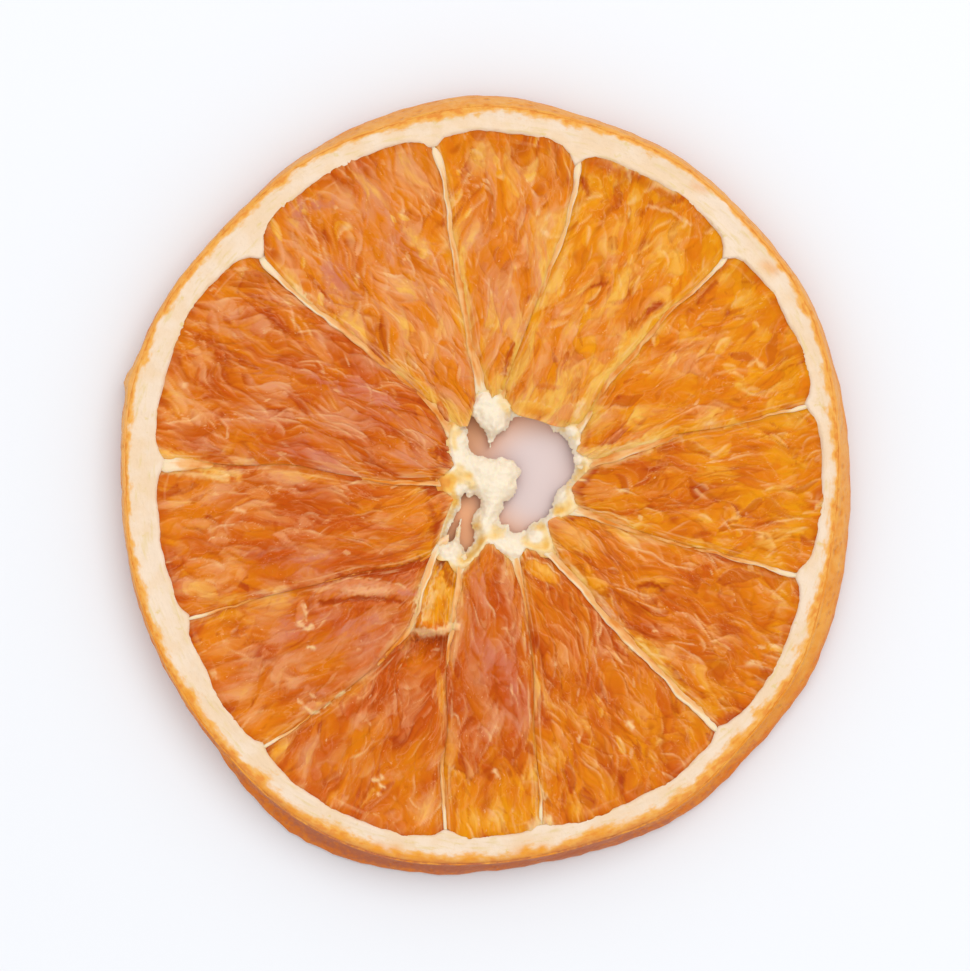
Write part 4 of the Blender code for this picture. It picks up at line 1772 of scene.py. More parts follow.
    def paint(
        self,
        spread: Spread,
        bent: Field,
        drawn: Field,
        sacs: Cells,
        skins: tuple[Flakes, Flakes, Flakes],
        seed: int,
    ) -> dict[str, Field]:
        """The masks that the pulp's material reads.

        Args:
            spread: Where the points lie.
            bent: Distance across the juice sacs, which wander.
            drawn: Distance along them.
            sacs: The pattern of juice sacs.
            skins: Three patterns of flakes of dried skin, from broad to fine.
            seed: The segment's seed.

        Returns:
            The masks by name.
        """
        share, beside, from_pith = spread.share, spread.beside, spread.from_pith
        broad, mid, fine = skins
        # Each number is how much a pattern adds to a mask. Flakes are painted paler on the side that faces
        # the light and deeper in colour on the other, with a painted highlight on their lit outline and
        # painted shade on the other: painted light and shade.
        facing = np.cos(spread.angle + self.light_turn)
        blotch = noise(bent / 2.4, drawn / 4.5, seed + 20)
        patch = noise(bent / 4.0, drawn / 6.0, seed + 21)
        haze = noise(bent / 2.6, drawn / 3.8, seed + 33)
        flow = noise(bent / 1.2, drawn / 3.6, seed + 23)
        grain = noise(bent / 0.4, drawn / 1.0, seed + 22)
        inside = smooth(sacs.gap / 0.18)
        under = self.under_wall(spread)
        lit = [flakes.side * flakes.cover * (0.8 * facing + flakes.sway(5.7)) for flakes in skins]
        near_core = bell(spread.from_core, 3.0)
        red = self.tone(share, "red") - 0.25 * near_core + 0.30 * (sacs.pick - 0.5) * inside
        # Redder along the pith, in the furrow under a membrane and on the flakes' sides away from the light,
        # which is painted shade, and in random blotches.
        edge = 0.25 * bell(from_pith, 0.8)
        red += 0.42 * blotch + 0.40 * mid.sway(2.3) + edge + 0.2 * under - 0.25 * lit[1]
        golden = self.tone(share, "gold")
        swing = 0.35 * flow + 0.45 * haze + 0.5 * broad.sway(7.3) + 0.5 * mid.sway(3.9) + 0.4 * fine.sway(1.7)
        gold = golden + (0.5 + 0.9 * golden) * swing + 0.25 * near_core - 0.3 * bell(from_pith, 0.7)
        milk_and_light = 0.25 + self.tone(share, "milk_and_light") + 0.40 * flow + 0.10 * grain + 0.42 * haze
        milk_and_light += 0.52 * broad.sway(3.7) + 0.48 * mid.sway(1.0)
        # Paler at random from flake to flake, and on the flakes' sides that face the light, which is painted
        # light.
        milk_and_light += 0.34 * fine.sway(1.0) + 0.34 * lit[0] + 0.38 * lit[1] + 0.22 * lit[2]
        # Less milky along the pith and in the furrow under a membrane: painted shade.
        milk_and_light -= 0.35 * bell(from_pith, 0.9) + 0.2 * under
        rosy = self.tone(share, "rosy") + 0.45 * patch + 0.3 * mid.sway(8.1)
        # Deep in the segment's tone, with dark outlines on the flakes' sides away from the light, which are
        # painted shade.
        deep = self.tone(share, "deep") + 0.40 * bell(broad.depth, 0.17) * smooth(0.1 - 2 * lit[0] + blotch)
        deep += 0.38 * bell(mid.depth, 0.11) * smooth(-2 * lit[1] + 0.8 * blotch)
        deep += 0.22 * bell(fine.depth, 0.07) * smooth(-0.1 - 2 * lit[2] + 0.8 * blotch)
        deep += 0.55 * smooth(noise(bent, drawn / 2.2, seed + 24) * 3 - 1.4)
        deep += 0.5 * smooth((mid.sway(9.1) - 0.36) / 0.05) + 0.3 * smooth((fine.sway(6.1) - 0.36) / 0.05)
        # Painted shade: darker in the seam along the pith, round the segments' tips and in the furrow under a
        # membrane.
        seam = smooth(0.3 + wave(spread.angle * 12, seed + 29))
        deep += 0.55 * bell(from_pith, 0.35) * seam + 0.50 * bell(spread.from_core - 0.55, 0.25) + 0.2 * under
        gate = smooth(0.15 + 1.5 * noise(bent / 2.0, drawn / 3.4, seed + 25))
        # Pale outlines on the flakes' sides that face the light: painted highlight.
        film_and_highlight = 0.54 * bell(broad.depth - 0.10, 0.13) * smooth(2.5 * lit[0]) * gate
        film_and_highlight += 0.38 * bell(mid.depth - 0.10, 0.12) * smooth(3 * lit[1] - 0.1) * (0.2 + 0.8 * gate)
        film_and_highlight += 0.16 * bell(fine.depth - 0.06, 0.08) * smooth(3 * lit[2] - 0.2) * gate
        film_and_highlight += 0.5 * smooth((fine.sway(4.3) - 0.38) / 0.06) * smooth(noise(bent, drawn / 2, seed + 26) * 2)
        wisps = smooth(noise(drawn / 2.6, beside / 0.22, seed + 28) * 2)
        film_and_highlight += 0.45 * bell(beside - 0.45, 0.3) * wisps * (1 - under)
        gold += 0.32 * bell(beside - 0.5, 0.5) * (1 - under)
        frayed = smooth(noise(spread.angle * 8, from_pith / 0.3, seed + 27) * 2.4 - 0.4)
        film_and_highlight += 0.55 * bell(spread.from_core, 0.30) * smooth(0.7 + wave(spread.angle * 14, seed + 32))
        film_and_highlight += 0.3 * bell(from_pith - 0.5 - 0.6 * wave(spread.angle * 5, seed + 31), 0.16) * frayed
        beads = BEAD_LAYER.strewn(bent, drawn, seed)
        chosen = beads.cover * smooth((self.beads * smooth((share - 0.3) / 0.4) - beads.pick) / 0.05)
        gold += 0.9 * chosen
        milk_and_light += 0.10 * chosen
        # A pale edge on each bead's side towards the light: painted highlight.
        film_and_highlight += 0.5 * bell(beads.side - 0.4 * np.sign(facing), 0.3) * chosen
        # The pocket's floor is golden; the hollow beyond its wall is painted darker and redder: painted
        # shade.
        if self.index == self.pocket.segment:
            beyond, within = self.pocket.beyond(spread.radius), self.pocket.within(spread.radius)
            red += 0.3 * beyond - 0.6 * within
            gold += 0.9 * within
            deep += 0.20 * beyond - 0.3 * within
            milk_and_light -= 0.25 * beyond + 0.3 * within
        return {"red": red, "gold": gold, "rosy": rosy, "deep": deep, "milk_and_light": milk_and_light, "film_and_highlight": film_and_highlight}

    def build(self, finish: PulpFinish) -> Piece:
        """The segment as one closed piece.

        Args:
            finish: The look of pulp.

        Returns:
            The piece.
        """
        number = f"{self.index + 1:02d}"
        upper = self.sheet(self.cell_mm, Face.UPPER)
        lower = self.sheet(self.cell_mm * self.coarse, Face.UNDER)
        piece = closed_pair(upper, lower)
        return finish_piece(piece, f"pulp_segment_{number}", finish.material(f"pulp_{number}"))


# -------------------- Membranes --------------------


@dataclass
class MembraneWall:
    """One membrane: a thin wall through the slice, wider where it meets pith and core."""

    index: int
    membrane: Membrane
    rows: int = 230
    columns: int = 24
    seed_step: int = 20
    about_ends: tuple[float, float] = (29.0, 8.0)
    least_width: float = 0.1
    tuck: tuple[float, float] = (0.2, 0.1)

    def build(self, finish: MembraneFinish) -> Piece:
        """The wall as one closed piece.

        Args:
            finish: The look of a membrane.

        Returns:
            The piece.
        """
        wall, share, turn = tube_blank(self.columns, self.rows)
        outer_angle, inner_angle = (FORM.wall_angle(self.index, np.array([end])) for end in self.about_ends)
        pith_end = FORM.around(FORM.pith, outer_angle) + self.tuck[0]
        core_end = FORM.around(FORM.core, inner_angle) - self.tuck[1]
        radius = core_end + share * (pith_end - core_end)
        angle = FORM.wall_angle(self.index, radius)
        seed = WALL_SEED + self.seed_step * self.index
        wander = 0.16 * wave(radius / 2.6, seed) * smooth((1 - share) * 8) * smooth(share * 8)
        wander += 0.05 * wave(radius / 0.7, seed + 6) * smooth((1 - share) * 8)
        width = np.maximum(FORM.along(self.membrane.widths, radius), self.least_width)
        width = width * (1 + 0.35 * wave(radius / 1.7, seed + 1, row=3.0))
        beyond_tip = radius - pith_end + self.tuck[0] + self.membrane.joint[0]
        from_joint = np.maximum(-beyond_tip, 0.0)
        width += 0.08 * bell(from_joint, 0.8) + 0.20 * bell(radius - core_end - 0.7, 0.9)
        tapered = 1 - 0.7 * smooth((beyond_tip - 0.2) / 0.9)
        width *= np.sqrt(smooth((radius - core_end) / 1.0 + 0.02)) * tapered
        # The section is a rounded box: its flats are the upper and lower faces of the wall.
        flat = np.clip(np.cos(turn) * 1.25, -1, 1)
        upper = np.sin(turn) > 0
        rounded = np.abs(np.sin(turn)) ** 0.35
        across = flat * width + wander
        lean = self.membrane.lean
        shown = np.clip(FORM.along(self.membrane.pale, radius), 0.0, 1.0)
        rise = 0.18 * smooth(shown / 0.6) - 0.06 + 0.08 * wave(radius / 2.2, seed + 2, row=7.0)
        meet = FORM.rim_height(angle) - 0.24 - FORM.pulp_top
        rise += np.maximum(meet - rise, 0.0) * bell(from_joint, 1.5)
        rise -= 0.6 * smooth((beyond_tip - 0.4) / 0.7)
        dish = FORM.core_dish * bell(np.maximum(radius - core_end - 1.2, 0.0), FORM.dish_width)
        dish += 0.45 * bell(radius - core_end, 0.9)
        lips = 0.08 * (np.abs(flat) ** 2 - 0.6) * smooth(width / 0.4)
        lips += 0.14 * lean * flat * smooth(shown / 0.5)
        lips += 0.04 * noise(radius / 0.6, flat * 1.5, seed + 3)
        top = FORM.pulp_top + rise + lips - dish
        bottom = FORM.pulp_bottom - 0.6 * rise - lips - 0.2 * dish
        middle = (top + bottom) / 2
        height = np.where(upper, middle + (top - middle) * rounded, middle + (bottom - middle) * rounded)
        x = radius * np.cos(angle) - across * np.sin(angle)
        y = radius * np.sin(angle) + across * np.cos(angle)
        move_vertices(wall, np.stack([x, y, height], 1))

        standing = smooth((flat * np.sign(lean) - 0.35) / 0.5)
        other = smooth((-flat * np.sign(lean) - 0.55) / 0.4)
        edge = (0.3 + 0.7 * abs(lean)) * standing + 0.5 * (1 - 0.6 * abs(lean)) * other
        ragged = 0.35 * noise(radius / 1.9, flat * 1.1, seed + 4) + 0.2 * noise(radius / 0.6, flat, seed + 5)
        pale = shown * (0.62 + 0.65 * edge) + ragged * (1.3 - 0.8 * shown)
        pale += 0.7 * bell(from_joint, 1.3) + 0.65 * bell(radius - core_end, 1.7)
        set_mask(wall, "pale", pale)
        set_grain(wall, across, radius, float(self.index))
        name = f"membrane_{self.index + 1:02d}"
        return finish_piece(wall, name, finish.material(name))


# -------------------- Core --------------------


class Loop:
    """A smooth closed line drawn over the view."""

    def __init__(self, corners_px: Sequence[tuple[float, float]], steps: int = 8) -> None:
        """Draws the line.

        Args:
            corners_px: The view's pixels that it passes through.
            steps: The points on each stretch between two of them.
        """
        corners = np.array([VIEW.place(x, y) for x, y in corners_px])
        t = np.arange(steps)[None, :, None] / steps
        ends = (np.roll(corners, -k, axis=0)[:, None, :] for k in (-1, 0, 1, 2))
        self.points = spline(*ends, t).reshape(-1, 2)

    def clearance(self, x: Field, y: Field) -> Field:
        """How far places are from the line.

        Args:
            x: Places in millimetres.
            y: Places in millimetres.

        Returns:
            The distance in millimetres: positive outside the line, negative inside.
        """
        nearest = np.full(x.shape, FAR)
        inside = np.zeros(x.shape, dtype=bool)
        before = np.roll(self.points, 1, axis=0)
        for (ax, ay), (bx, by) in zip(before, self.points):
            nearest = np.minimum(nearest, (x - bx) ** 2 + (y - by) ** 2)
            if ay != by:
                crossed = (ay > y) != (by > y)
                inside ^= crossed & (x < (bx - ax) * (y - ay) / (by - ay) + ax)
        return np.where(inside, -1.0, 1.0) * np.sqrt(nearest)


MAIN_OPENING_PX = (
    (510, 421), (516, 417), (530, 416), (541, 418), (548, 423), (553, 430), (561, 434), (567, 440),
    (571, 448), (573, 456), (575, 465), (573, 474), (569, 481), (562, 487), (556, 494), (553, 503),
    (550, 512), (544, 518), (537, 521), (530, 525), (524, 531), (516, 533), (510, 530), (508, 525),
    (502, 524), (499, 519), (500, 514), (504, 509), (504, 503), (508, 501), (513, 496), (516, 490),
    (517, 480), (521, 475), (519, 468), (514, 462), (508, 459), (500, 457), (492, 459), (484, 456),
    (477, 455), (471, 451), (468, 444), (468, 436), (466, 427), (466, 420), (471, 416), (476, 420),
    (479, 426), (484, 429), (487, 435), (488, 442), (490, 448), (493, 442), (496, 436), (502, 432),
    (508, 428),
)  # fmt: skip
SLIT_PX = (
    (465, 493), (467, 496), (470, 498), (475, 495), (479, 498), (480, 504), (477, 511), (473, 517),
    (472, 524), (474, 532), (474, 540), (471, 546), (466, 551), (463, 549), (460, 543), (460, 535),
    (461, 527), (461, 519), (458, 525), (456, 533), (453, 540), (449, 542), (446, 539), (448, 531),
    (452, 522), (457, 513), (460, 506), (461, 500), (462, 495),
)  # fmt: skip


@dataclass(frozen=True)
class CoreLump:
    """A swelling of the core, at a pixel of the view.

    Attributes:
        place_px: Its middle.
        size: Its half width in millimetres.
        rise: How far it stands up, in millimetres.
        white: How white it has dried, from 0 to 1, or how amber below 0.
    """

    place_px: tuple[float, float]
    size: float
    rise: float
    white: float


CORE_LUMPS = (
    CoreLump((500, 474), 1.3, 0.40, 1.0),
    CoreLump((478, 464), 1.0, 0.30, 1.0),
    CoreLump((492, 492), 1.1, 0.20, 0.9),
    CoreLump((508, 486), 0.6, 0.10, 0.9),
    CoreLump((490, 515), 0.9, 0.05, 0.8),
    CoreLump((469, 475), 0.40, 0.0, -0.45),
    CoreLump((487, 411), 1.2, 0.35, 1.0),
    CoreLump((497, 424), 0.8, 0.15, 1.0),
    CoreLump((483, 399), 0.5, 0.30, 0.9),
    CoreLump((463, 440), 0.6, 0.25, 0.9),
    CoreLump((461, 455), 0.6, 0.20, 0.8),
    CoreLump((450, 552), 0.8, 0.40, 1.0),
    CoreLump((512, 540), 0.9, 0.10, 0.9),
    CoreLump((536, 537), 0.6, 0.25, 1.0),
    CoreLump((516, 552), 0.5, 0.25, 0.9),
    CoreLump((576, 445), 0.5, 0.25, 0.8),
    CoreLump((577, 460), 0.5, 0.20, 0.8),
    CoreLump((571, 432), 0.5, 0.20, 0.7),
    CoreLump((562, 497), 0.7, 0.15, 0.7),
    CoreLump((550, 520), 0.6, 0.10, 0.6),
    CoreLump((485, 530), 0.7, 0.10, 0.5),
    CoreLump((460, 490), 0.5, 0.20, 0.7),
    CoreLump((475, 528), 0.35, 0.0, -0.5),
    CoreLump((566, 484), 0.5, 0.0, -0.2),
    CoreLump((556, 512), 0.5, 0.05, -0.2),
    CoreLump((497, 546), 0.5, 0.20, 0.9),
    CoreLump((443, 483), 0.8, 0.05, -1.1),
    CoreLump((454, 500), 0.5, 0.0, -0.5),
)


@dataclass
class CoreSheet:
    """The torn core: pale pith between the segments' tips, with the openings that drying tore in it."""

    half_mm: float = 9.4
    spacing: float = 0.095
    overlap: float = 0.35
    top_height: float = 2.45
    least_height: float = 0.12
    thickness: float = 2.6
    torn_thickness: float = 1.6
    pale_px: tuple[float, float] = (478, 480)
    pale_mm: float = 3.0
    slope_step: float = 0.01
    trim_passes: int = 3
    openings: tuple[Loop, ...] = field(default_factory=lambda: (Loop(MAIN_OPENING_PX), Loop(SLIT_PX)))

    def inside(self, x: Field, y: Field) -> tuple[Field, Field]:
        """How far a place lies from the torn edges and from the segments.

        Args:
            x: Places in millimetres.
            y: Places in millimetres.

        Returns:
            The distance from the nearest torn edge, positive in the core, and the distance from the
            pulp, positive in the core.
        """
        torn = np.minimum(*(opening.clearance(x, y) for opening in self.openings))
        torn = torn + 0.12 * mottle(x, y, 0.65, CORE_SEED + 1) + 0.11 * mottle(x, y, 0.25, CORE_SEED + 2)
        tips = FORM.core_radius(np.arctan2(y, x)) - np.hypot(x, y)
        return torn, tips

    def reach(self, x: Field, y: Field) -> Field:
        """Positive where there is core, falling to 0 at its border."""
        torn, tips = self.inside(x, y)
        return np.minimum(torn, tips + self.overlap)

    def blank(self) -> Piece:
        """Cuts a flat slab to the core's outline.

        Returns:
            The slab, 1 thick, with its upper side at 0.
        """
        count = int(2 * self.half_mm / self.spacing)
        slab, across, along = unit_grid(count, count)
        places = np.stack([across - 0.5, along - 0.5, across * 0], 1) * 2 * self.half_mm
        move_vertices(slab, places)
        quads = np.empty(len(slab.data.polygons) * 4, dtype=np.int64)
        slab.data.polygons.foreach_get("vertices", quads)
        middles = places[quads.reshape(-1, 4)].mean(axis=1)
        outside = self.reach(middles[:, 0], middles[:, 1]) < 0
        slab.data.polygons.foreach_set("select", outside)
        slab.data.update()
        bpy.ops.object.mode_set(mode="EDIT")
        bpy.ops.mesh.select_mode(type="FACE")
        bpy.ops.object.mode_set(mode="OBJECT")
        slab.data.polygons.foreach_set("select", outside)
        bpy.ops.object.mode_set(mode="EDIT")
        bpy.ops.mesh.delete(type="FACE")
        select_borders()
        bpy.ops.object.mode_set(mode="OBJECT")
        self.trim(slab)
        solid = slab.modifiers.new("thickness", "SOLIDIFY")
        solid.thickness = 1.0
        solid.offset = -1.0
        bpy.ops.object.modifier_apply(modifier=solid.name)
        return slab

    def trim(self, slab: Piece) -> None:
        """Moves the selected vertices, which lie on the border, onto the core's outline.

        Args:
            slab: The flat slab.
        """
        chosen = np.empty(len(slab.data.vertices), dtype=bool)
        slab.data.vertices.foreach_get("select", chosen)
        places = vertex_places(slab)
        x, y = places[chosen, 0], places[chosen, 1]
        for _ in range(self.trim_passes):
            here = self.reach(x, y)
            slope_x = (self.reach(x + self.slope_step, y) - here) / self.slope_step
            slope_y = (self.reach(x, y + self.slope_step) - here) / self.slope_step
            steep = np.maximum(slope_x**2 + slope_y**2, 0.3)
            limit = self.spacing / 2
            x = x - np.clip(here * slope_x / steep, -limit, limit)
            y = y - np.clip(here * slope_y / steep, -limit, limit)
        places[chosen, 0], places[chosen, 1] = x, y
        move_vertices(slab, places)

    def build(self, finish: CoreFinish) -> Piece:
        """The core as one closed piece.

        Args:
            finish: The look of the core.

        Returns:
            The piece.
        """
        core = self.blank()
        places = vertex_places(core)
        x, y = places[:, 0], places[:, 1]
        upper = places[:, 2] > -0.5
        torn, tips = self.inside(x, y)
        rise = np.zeros(x.shape)
        pale_x, pale_y = VIEW.place(*self.pale_px)
        white = 0.20 + 0.35 * bell(np.hypot(x - pale_x, y - pale_y), self.pale_mm)
        white = white + 0.40 * bell(tips - 0.30, 0.3) + 0.7 * bell(torn, 0.35)
        for lump in CORE_LUMPS:
            lump_x, lump_y = VIEW.place(*lump.place_px)
            near = bell(np.hypot(x - lump_x, y - lump_y), lump.size)
            rise = rise + lump.rise * near
            white = white + lump.white * near * 1.3
        flap = smooth(rise / 0.12)
        sag = (1 - smooth(torn / 1.1)) * (1.05 - 0.65 * flap)
        top = self.top_height + rise + 0.25 * bell(tips - 0.45, 0.45)
        top = top - 0.25 * bell(np.minimum(tips, 0.0), 0.3) - sag
        top += 0.16 * mottle(x, y, 1.1, CORE_SEED + 3) + 0.11 * mottle(x, y, 0.4, CORE_SEED + 4)
        top -= 0.22 * bell(torn, 0.22)
        thick = self.torn_thickness + (self.thickness - self.torn_thickness) * smooth(torn / 1.3)
        bottom = np.maximum(top - thick, self.least_height + 0.6 * flap)
        places[:, 2] = np.where(upper, top, bottom)
        move_vertices(core, places)
        set_mask(core, "white", white + 0.15 * mottle(x, y, 0.8, CORE_SEED + 5))
        # Darker in the creases by the segments' tips, which is painted shade, in scattered patches, and where
        # lumps dried amber.
        deep = 0.8 * bell(tips + 0.1, 0.25) + 0.25 * smooth(mottle(x, y, 0.8, CORE_SEED + 6) * 2 - 1)
        set_mask(core, "deep", deep + 0.9 * smooth(-1.5 * white))
        set_mask(core, "under", np.where(upper, 0.0, 1.0))
        return finish_piece(core, "torn_core", finish.material("core"))


# -------------------- Rim --------------------


GLANDS_PX = (
    (186, 693), (200, 715), (262, 790), (294, 814), (300, 819), (340, 838), (376, 847), (392, 850),
    (412, 856), (427, 859), (470, 858), (522, 852), (528, 854), (541, 849), (600, 832), (742, 742),
    (118, 440), (126, 372), (198, 232), (262, 170), (300, 146), (700, 188), (770, 268),
)  # fmt: skip
# The ring's length round one radian of it, in millimetres.
GIRTH = 30.0


@dataclass
class PithRing:
    """The band of pith between pulp and skin, from the cut face through to the underside."""

    columns: int = 1500
    rows: int = 40
    gland_sizes: tuple[float, float] = (0.26, 0.05)
    gland_kinds: int = 4
    gland_width: float = 1.3

    def build(self, finish: PithFinish) -> Piece:
        """The ring as one closed piece.

        Args:
            finish: The look of pith.

        Returns:
            The piece.
        """
        ring, angle, around = ring_blank(self.columns, self.rows)
        run = angle * GIRTH
        none = np.zeros(angle.shape)
        inner = FORM.pith_radius(angle)
        calm = smooth(FORM.off_wall(angle, inner).min(axis=0) / 1.2)
        inner += calm * 0.10 * wave(run / 1.4, PITH_SEED + 1)
        inner += calm * 0.16 * wave(run / 3.6, PITH_SEED + 7)
        edge = FORM.around(FORM.skin, angle) - FORM.around(FORM.flare, angle)
        top = FORM.rim_height(angle)
        dip = 0.12 + 0.10 * wave(run / 5, PITH_SEED + 2)
        # Distances from the borders of the band and heights, from the outer side over the top inwards.
        corners = (
            (edge - 0.30, 0.5 * top),
            (edge - 0.12, 0.88 * top),
            (edge - 0.22, top - 0.05),
            (0.25 * inner + 0.75 * edge, top - 0.3 * dip),
            (0.5 * inner + 0.5 * edge, top - dip),
            (0.75 * inner + 0.25 * edge, top - 0.7 * dip),
            (inner + 0.32, top - 0.05),
            (inner + 0.06, top - 0.24),
            (inner - 0.04, top - 0.75),
            (inner + 0.05, 0.5 * top),
            (inner - 0.02, none + 0.75),
            (inner + 0.10, none + 0.22),
            (inner + 0.50, none),
            (0.5 * inner + 0.5 * edge, none),
            (edge - 0.45, none),
            (edge - 0.20, none + 0.25),
        )
        radius, height = closed_section(corners, around)
        x, y = radius * np.cos(angle), radius * np.sin(angle)
        lumps = 0.05 * mottle(x, y, 0.9, PITH_SEED + 3) + 0.02 * mottle(x, y, 0.3, PITH_SEED + 4)
        upper = smooth((height - 0.5 * top) / (0.4 * top))
        height = height + lumps * upper
        move_vertices(ring, np.stack([x, y, height], 1))

        to_edge = edge - radius
        creep = FORM.around(FORM.stain, angle) * (0.85 + 0.5 * mottle(x, y, 2.4, PITH_SEED + 5))
        creep += 0.25 * mottle(x, y, 0.8, PITH_SEED + 8)
        stain = 1.25 * bell(np.maximum(to_edge, 0.0), np.maximum(creep, 0.2))
        browned = smooth(FORM.around(FORM.brown, angle) * 1.5 - 0.3)
        brown = browned * bell(to_edge, 0.45 + 0.2 * mottle(x, y, 0.7, PITH_SEED + 9))
        spots = packed_cells(x / 1.5, y / 1.5, PITH_SEED + 6)
        near_spot = bell(np.hypot(spots.off_x, spots.off_y), 0.28) * smooth((spots.pick - 0.55) * 8)
        stain = np.maximum(stain, 0.9 * near_spot * smooth(1.6 - to_edge / 0.9))
        oil = np.zeros(x.shape)
        for number, gland in enumerate(GLANDS_PX):
            gland_x, gland_y = VIEW.place(*gland)
            size = self.gland_sizes[0] + self.gland_sizes[1] * (number % self.gland_kinds)
            away = np.hypot((x - gland_x) / self.gland_width, y - gland_y)
            oil = np.maximum(oil, bell(away, size) ** 0.7)
        set_mask(ring, "skin", stain)
        set_mask(ring, "brown", brown)
        set_mask(ring, "oil", 0.9 * oil * upper)
        # The grain runs round the ring as a circle in two axes, so that it has no seam.
        set_grain(ring, radius, GIRTH * np.cos(angle), GIRTH * np.sin(angle))
        return finish_piece(ring, "pith_ring", finish.material("pith"))


@dataclass
class RindSkin:
    """The skin: a thin shell round the side, from the edge of the cut face to the underside."""

    columns: int = 1500
    rows: int = 44
    girth: float = 32.0
    bump_angle: float = math.radians(164)
    bump: tuple[float, float] = (0.35, 0.9)

    def build(self, finish: RindFinish) -> Piece:
        """The skin as one closed piece.

        Args:
            finish: The look of dried skin.

        Returns:
            The piece.
        """
        ring, angle, around = ring_blank(self.columns, self.rows)
        run = angle * GIRTH
        none = np.zeros(angle.shape)
        skin = FORM.around(FORM.skin, angle)
        flare = FORM.around(FORM.flare, angle)
        edge = skin - flare
        top = FORM.rim_height(angle)
        lip = FORM.around(FORM.low_lip, angle)
        ragged = 0.16 * wave(run / 1.3, RIND_SEED + 1) + 0.10 * wave(run / 0.5, RIND_SEED + 2)
        border = edge - 0.05 + 0.6 * ragged
        high = 1 - lip
        # From the widest point of the side up, over the cut edge, down the inner side and back below.
        corners = (
            (skin, top * (0.42 - 0.30 * lip)),
            (edge + flare * (0.80 - 0.05 * lip), top * (0.62 - 0.38 * lip)),
            (edge + flare * (0.48 * high + 0.30 * lip), top * (0.80 - 0.44 * lip)),
            (edge + 0.10 * high - 0.12 * lip, top * (0.93 - 0.28 * lip)),
            (edge, top - 0.16),
            (border - 0.10, top - 0.06),
            (border - 0.25, top - 0.30),
            (edge - 0.45, 0.8 * top),
            (edge - 0.50, 0.5 * top),
            (edge - 0.50, 0.2 * top),
            (edge - 0.50, none + 0.15),
            (edge - 0.45, none),
            (edge - 0.05, none),
            (edge + 0.70 * flare, 0.06 * top),
        )
        radius, height = closed_section(corners, around)
        outer = smooth((radius - edge + 0.05) / 0.3)
        along = angle * self.girth
        dents = 0.10 * noise(along / 3.2, height / 2.0, RIND_SEED + 3)
        dents += 0.07 * noise(along / 1.1, height / 0.8, RIND_SEED + 4)
        dents += 0.05 * noise(along / 0.5, height / 0.8, RIND_SEED + 8)
        low = smooth(lip / 0.6)
        torn = 0.12 * noise(along / 1.8, height / 1.5, RIND_SEED + 9)
        torn += 0.06 * noise(along / 0.7, height, RIND_SEED + 10)
        dents += low * (torn - 0.08)
        bump = self.bump[0] * bell((np.mod(angle, TURN) - self.bump_angle) * self.girth, self.bump[1])
        radius = np.minimum(radius + outer * (dents - 0.05), skin) + outer * bump
        x, y = radius * np.cos(angle), radius * np.sin(angle)
        move_vertices(ring, np.stack([x, y, height], 1))

        cut = bell(radius - border, 0.35) * smooth((height - 0.85 * top) / (0.1 * top))
        down = 1 - height / top
        browned = FORM.around(FORM.brown, angle)
        # The brown is partly painted shade: strongest in the shaded band below the cut edge on the lower
        # left, and less on the lower lip, which stands out into the light.
        shaded = lip * bell(down - 0.45 + 0.14 * noise(along / 1.6, height / 2.0, RIND_SEED + 12), 0.22)
        brown = browned * (0.75 + 0.4 * shaded - 0.35 * lip * smooth((down - 0.7) / 0.15))
        brown += 0.22 * noise(along / 1.8, height / 0.9, RIND_SEED + 5)
        start = down + 0.03 * low + 0.05 * noise(along / 0.6, height, RIND_SEED + 11)
        brown *= smooth(start / (0.12 - 0.08 * low))
        set_mask(ring, "brown", brown)
        red = 0.8 * smooth((down - 0.1) / 0.6) + 0.3 * noise(along / 4, height, RIND_SEED + 7)
        # Paler peach on the upper and left sides of the skin: painted light.
        painted_rim_light = smooth(0.75 + np.sin(angle + 0.1))
        set_mask(ring, "painted_rim_light", 0.50 * painted_rim_light + 0.35 * bell(np.mod(angle, TURN) - math.pi, 0.4))
        set_mask(ring, "red", red - 0.15 * painted_rim_light)
        set_mask(ring, "edge", cut * (1 - low) * smooth(0.3 + noise(along / 1.2, height, RIND_SEED + 6)))
        return finish_piece(ring, "rind_skin", finish.material("rind"))


# -------------------- Studio --------------------


@dataclass(frozen=True)
class FloorFinish:
    """Pale matt floor. Under the slice, the light that the thin pulp lets through is painted on it as a rosy
    and amber tint: painted light.
    """

    pale: Linear = shade(248, 251, 255)
    rosy: Linear = shade(238, 221, 219)
    amber: Linear = shade(255, 196, 150, light=1.2)
    opening_mm: tuple[float, float, float] = (5.0, 0.7, 0.0)
    deepens_mm: tuple[float, float] = (2.5, 7.5)
    fades_mm: tuple[float, float] = (10.0, 20.0)
    roughness: float = 0.9
    gloss: float = 0.1

    def material(self) -> Material:
        """The floor's material, with painted light under the slice: a tint that changes with how far a place
        lies from the core's opening.

        Returns:
            The material.
        """
        recipe = Recipe("floor")
        away = recipe.distance(recipe.place(1.0), self.opening_mm)
        # Painted light: rosy near the core's opening, amber further out, fading into the plain floor.
        painted_passed_light = recipe.mix(recipe.level(away, *self.deepens_mm), self.rosy, self.amber)
        colour = recipe.mix(recipe.level(away, *self.fades_mm), painted_passed_light, self.pale)
        return recipe.surface(colour, self.roughness, Specular_IOR_Level=self.gloss)


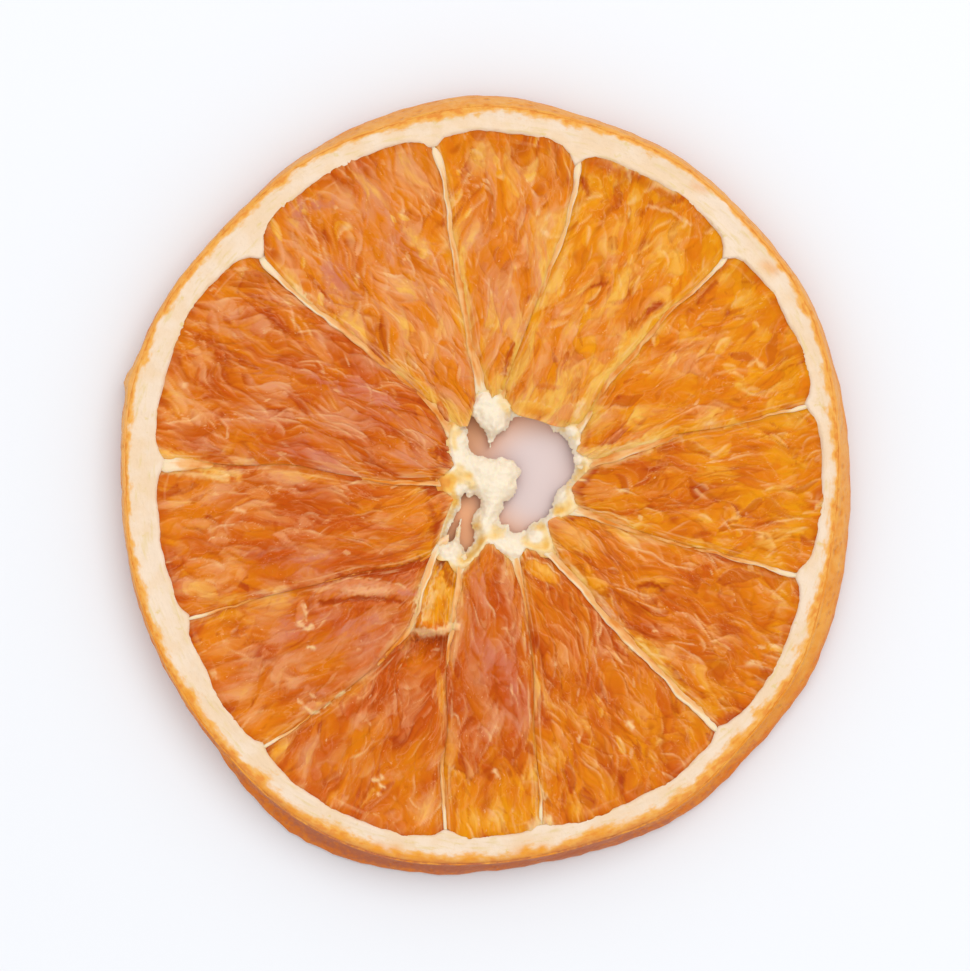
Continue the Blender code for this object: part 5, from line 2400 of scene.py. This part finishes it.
@dataclass(frozen=True)
class Studio:
    """A pale floor, soft light from the upper right and a camera that looks straight down."""

    floor_size: float = 3.0
    camera_height: float = 0.9
    sharp_height: float = 3.3
    sensor_mm: float = 36.0
    key_place: tuple[float, float, float] = (0.20, 0.28, 0.66)
    key_size: float = 0.55
    key_power: float = 1.75
    sky: float = 1.05
    sky_colour: Linear = (1.0, 0.99, 0.995, 1)
    nearest: float = 0.01

    def floor(self) -> None:
        """The floor, at the height of the table."""
        clear_selection()
        bpy.ops.mesh.primitive_plane_add(size=self.floor_size)
        floor = bpy.context.object
        floor.name = "floor"
        floor.data.materials.append(FloorFinish().material())

    def lights(self) -> None:
        """The key light and an even sky."""
        lamp = bpy.data.lights.new("key", "AREA")
        lamp.shape = "DISK"
        lamp.size = self.key_size
        lamp.energy = self.key_power
        key = bpy.data.objects.new("key", lamp)
        key.location = self.key_place
        key.rotation_euler = (-Vector(self.key_place)).to_track_quat("-Z", "Y").to_euler()
        bpy.context.scene.collection.objects.link(key)
        world = bpy.data.worlds.new("sky")
        world.use_nodes = True
        background = world.node_tree.nodes["Background"]
        background.inputs["Color"].default_value = self.sky_colour
        background.inputs["Strength"].default_value = self.sky
        bpy.context.scene.world = world

    def camera(self) -> None:
        """The camera, framed so that the view's pixels lie over the slice as VIEW says."""
        lens = bpy.data.cameras.new("camera")
        camera = bpy.data.objects.new("camera", lens)
        bpy.context.scene.collection.objects.link(camera)
        x, y = VIEW.place(VIEW.width_px / 2, VIEW.height_px / 2)
        middle = PLACER.middle
        camera.location = ((x - middle[0]) * MM, (y - middle[1]) * MM, self.camera_height)
        camera.rotation_euler = (0, 0, 0)
        covered = VIEW.height_px * VIEW.mm_per_px * MM
        lens.sensor_width = self.sensor_mm
        lens.lens = self.sensor_mm * (self.camera_height - self.sharp_height * MM) / covered
        lens.clip_start = self.nearest
        bpy.context.scene.camera = camera
        bpy.context.scene.view_settings.view_transform = "Standard"


def main() -> None:
    """Builds the slice and its studio."""
    for index, (tones, beads) in enumerate(zip(SEGMENT_TONES, SEGMENT_BEADS)):
        report(PulpSegment(index, tones, beads=beads).build(PulpFinish()))
    for index, wall in enumerate(MEMBRANES):
        report(MembraneWall(index, wall).build(MembraneFinish()))
    report(CoreSheet().build(CoreFinish()))
    report(PithRing().build(PithFinish()))
    report(RindSkin().build(RindFinish()))
    studio = Studio()
    studio.floor()
    studio.lights()
    studio.camera()


if __name__ == "__main__":
    logging.basicConfig(level=logging.INFO, format="%(message)s")
    main()
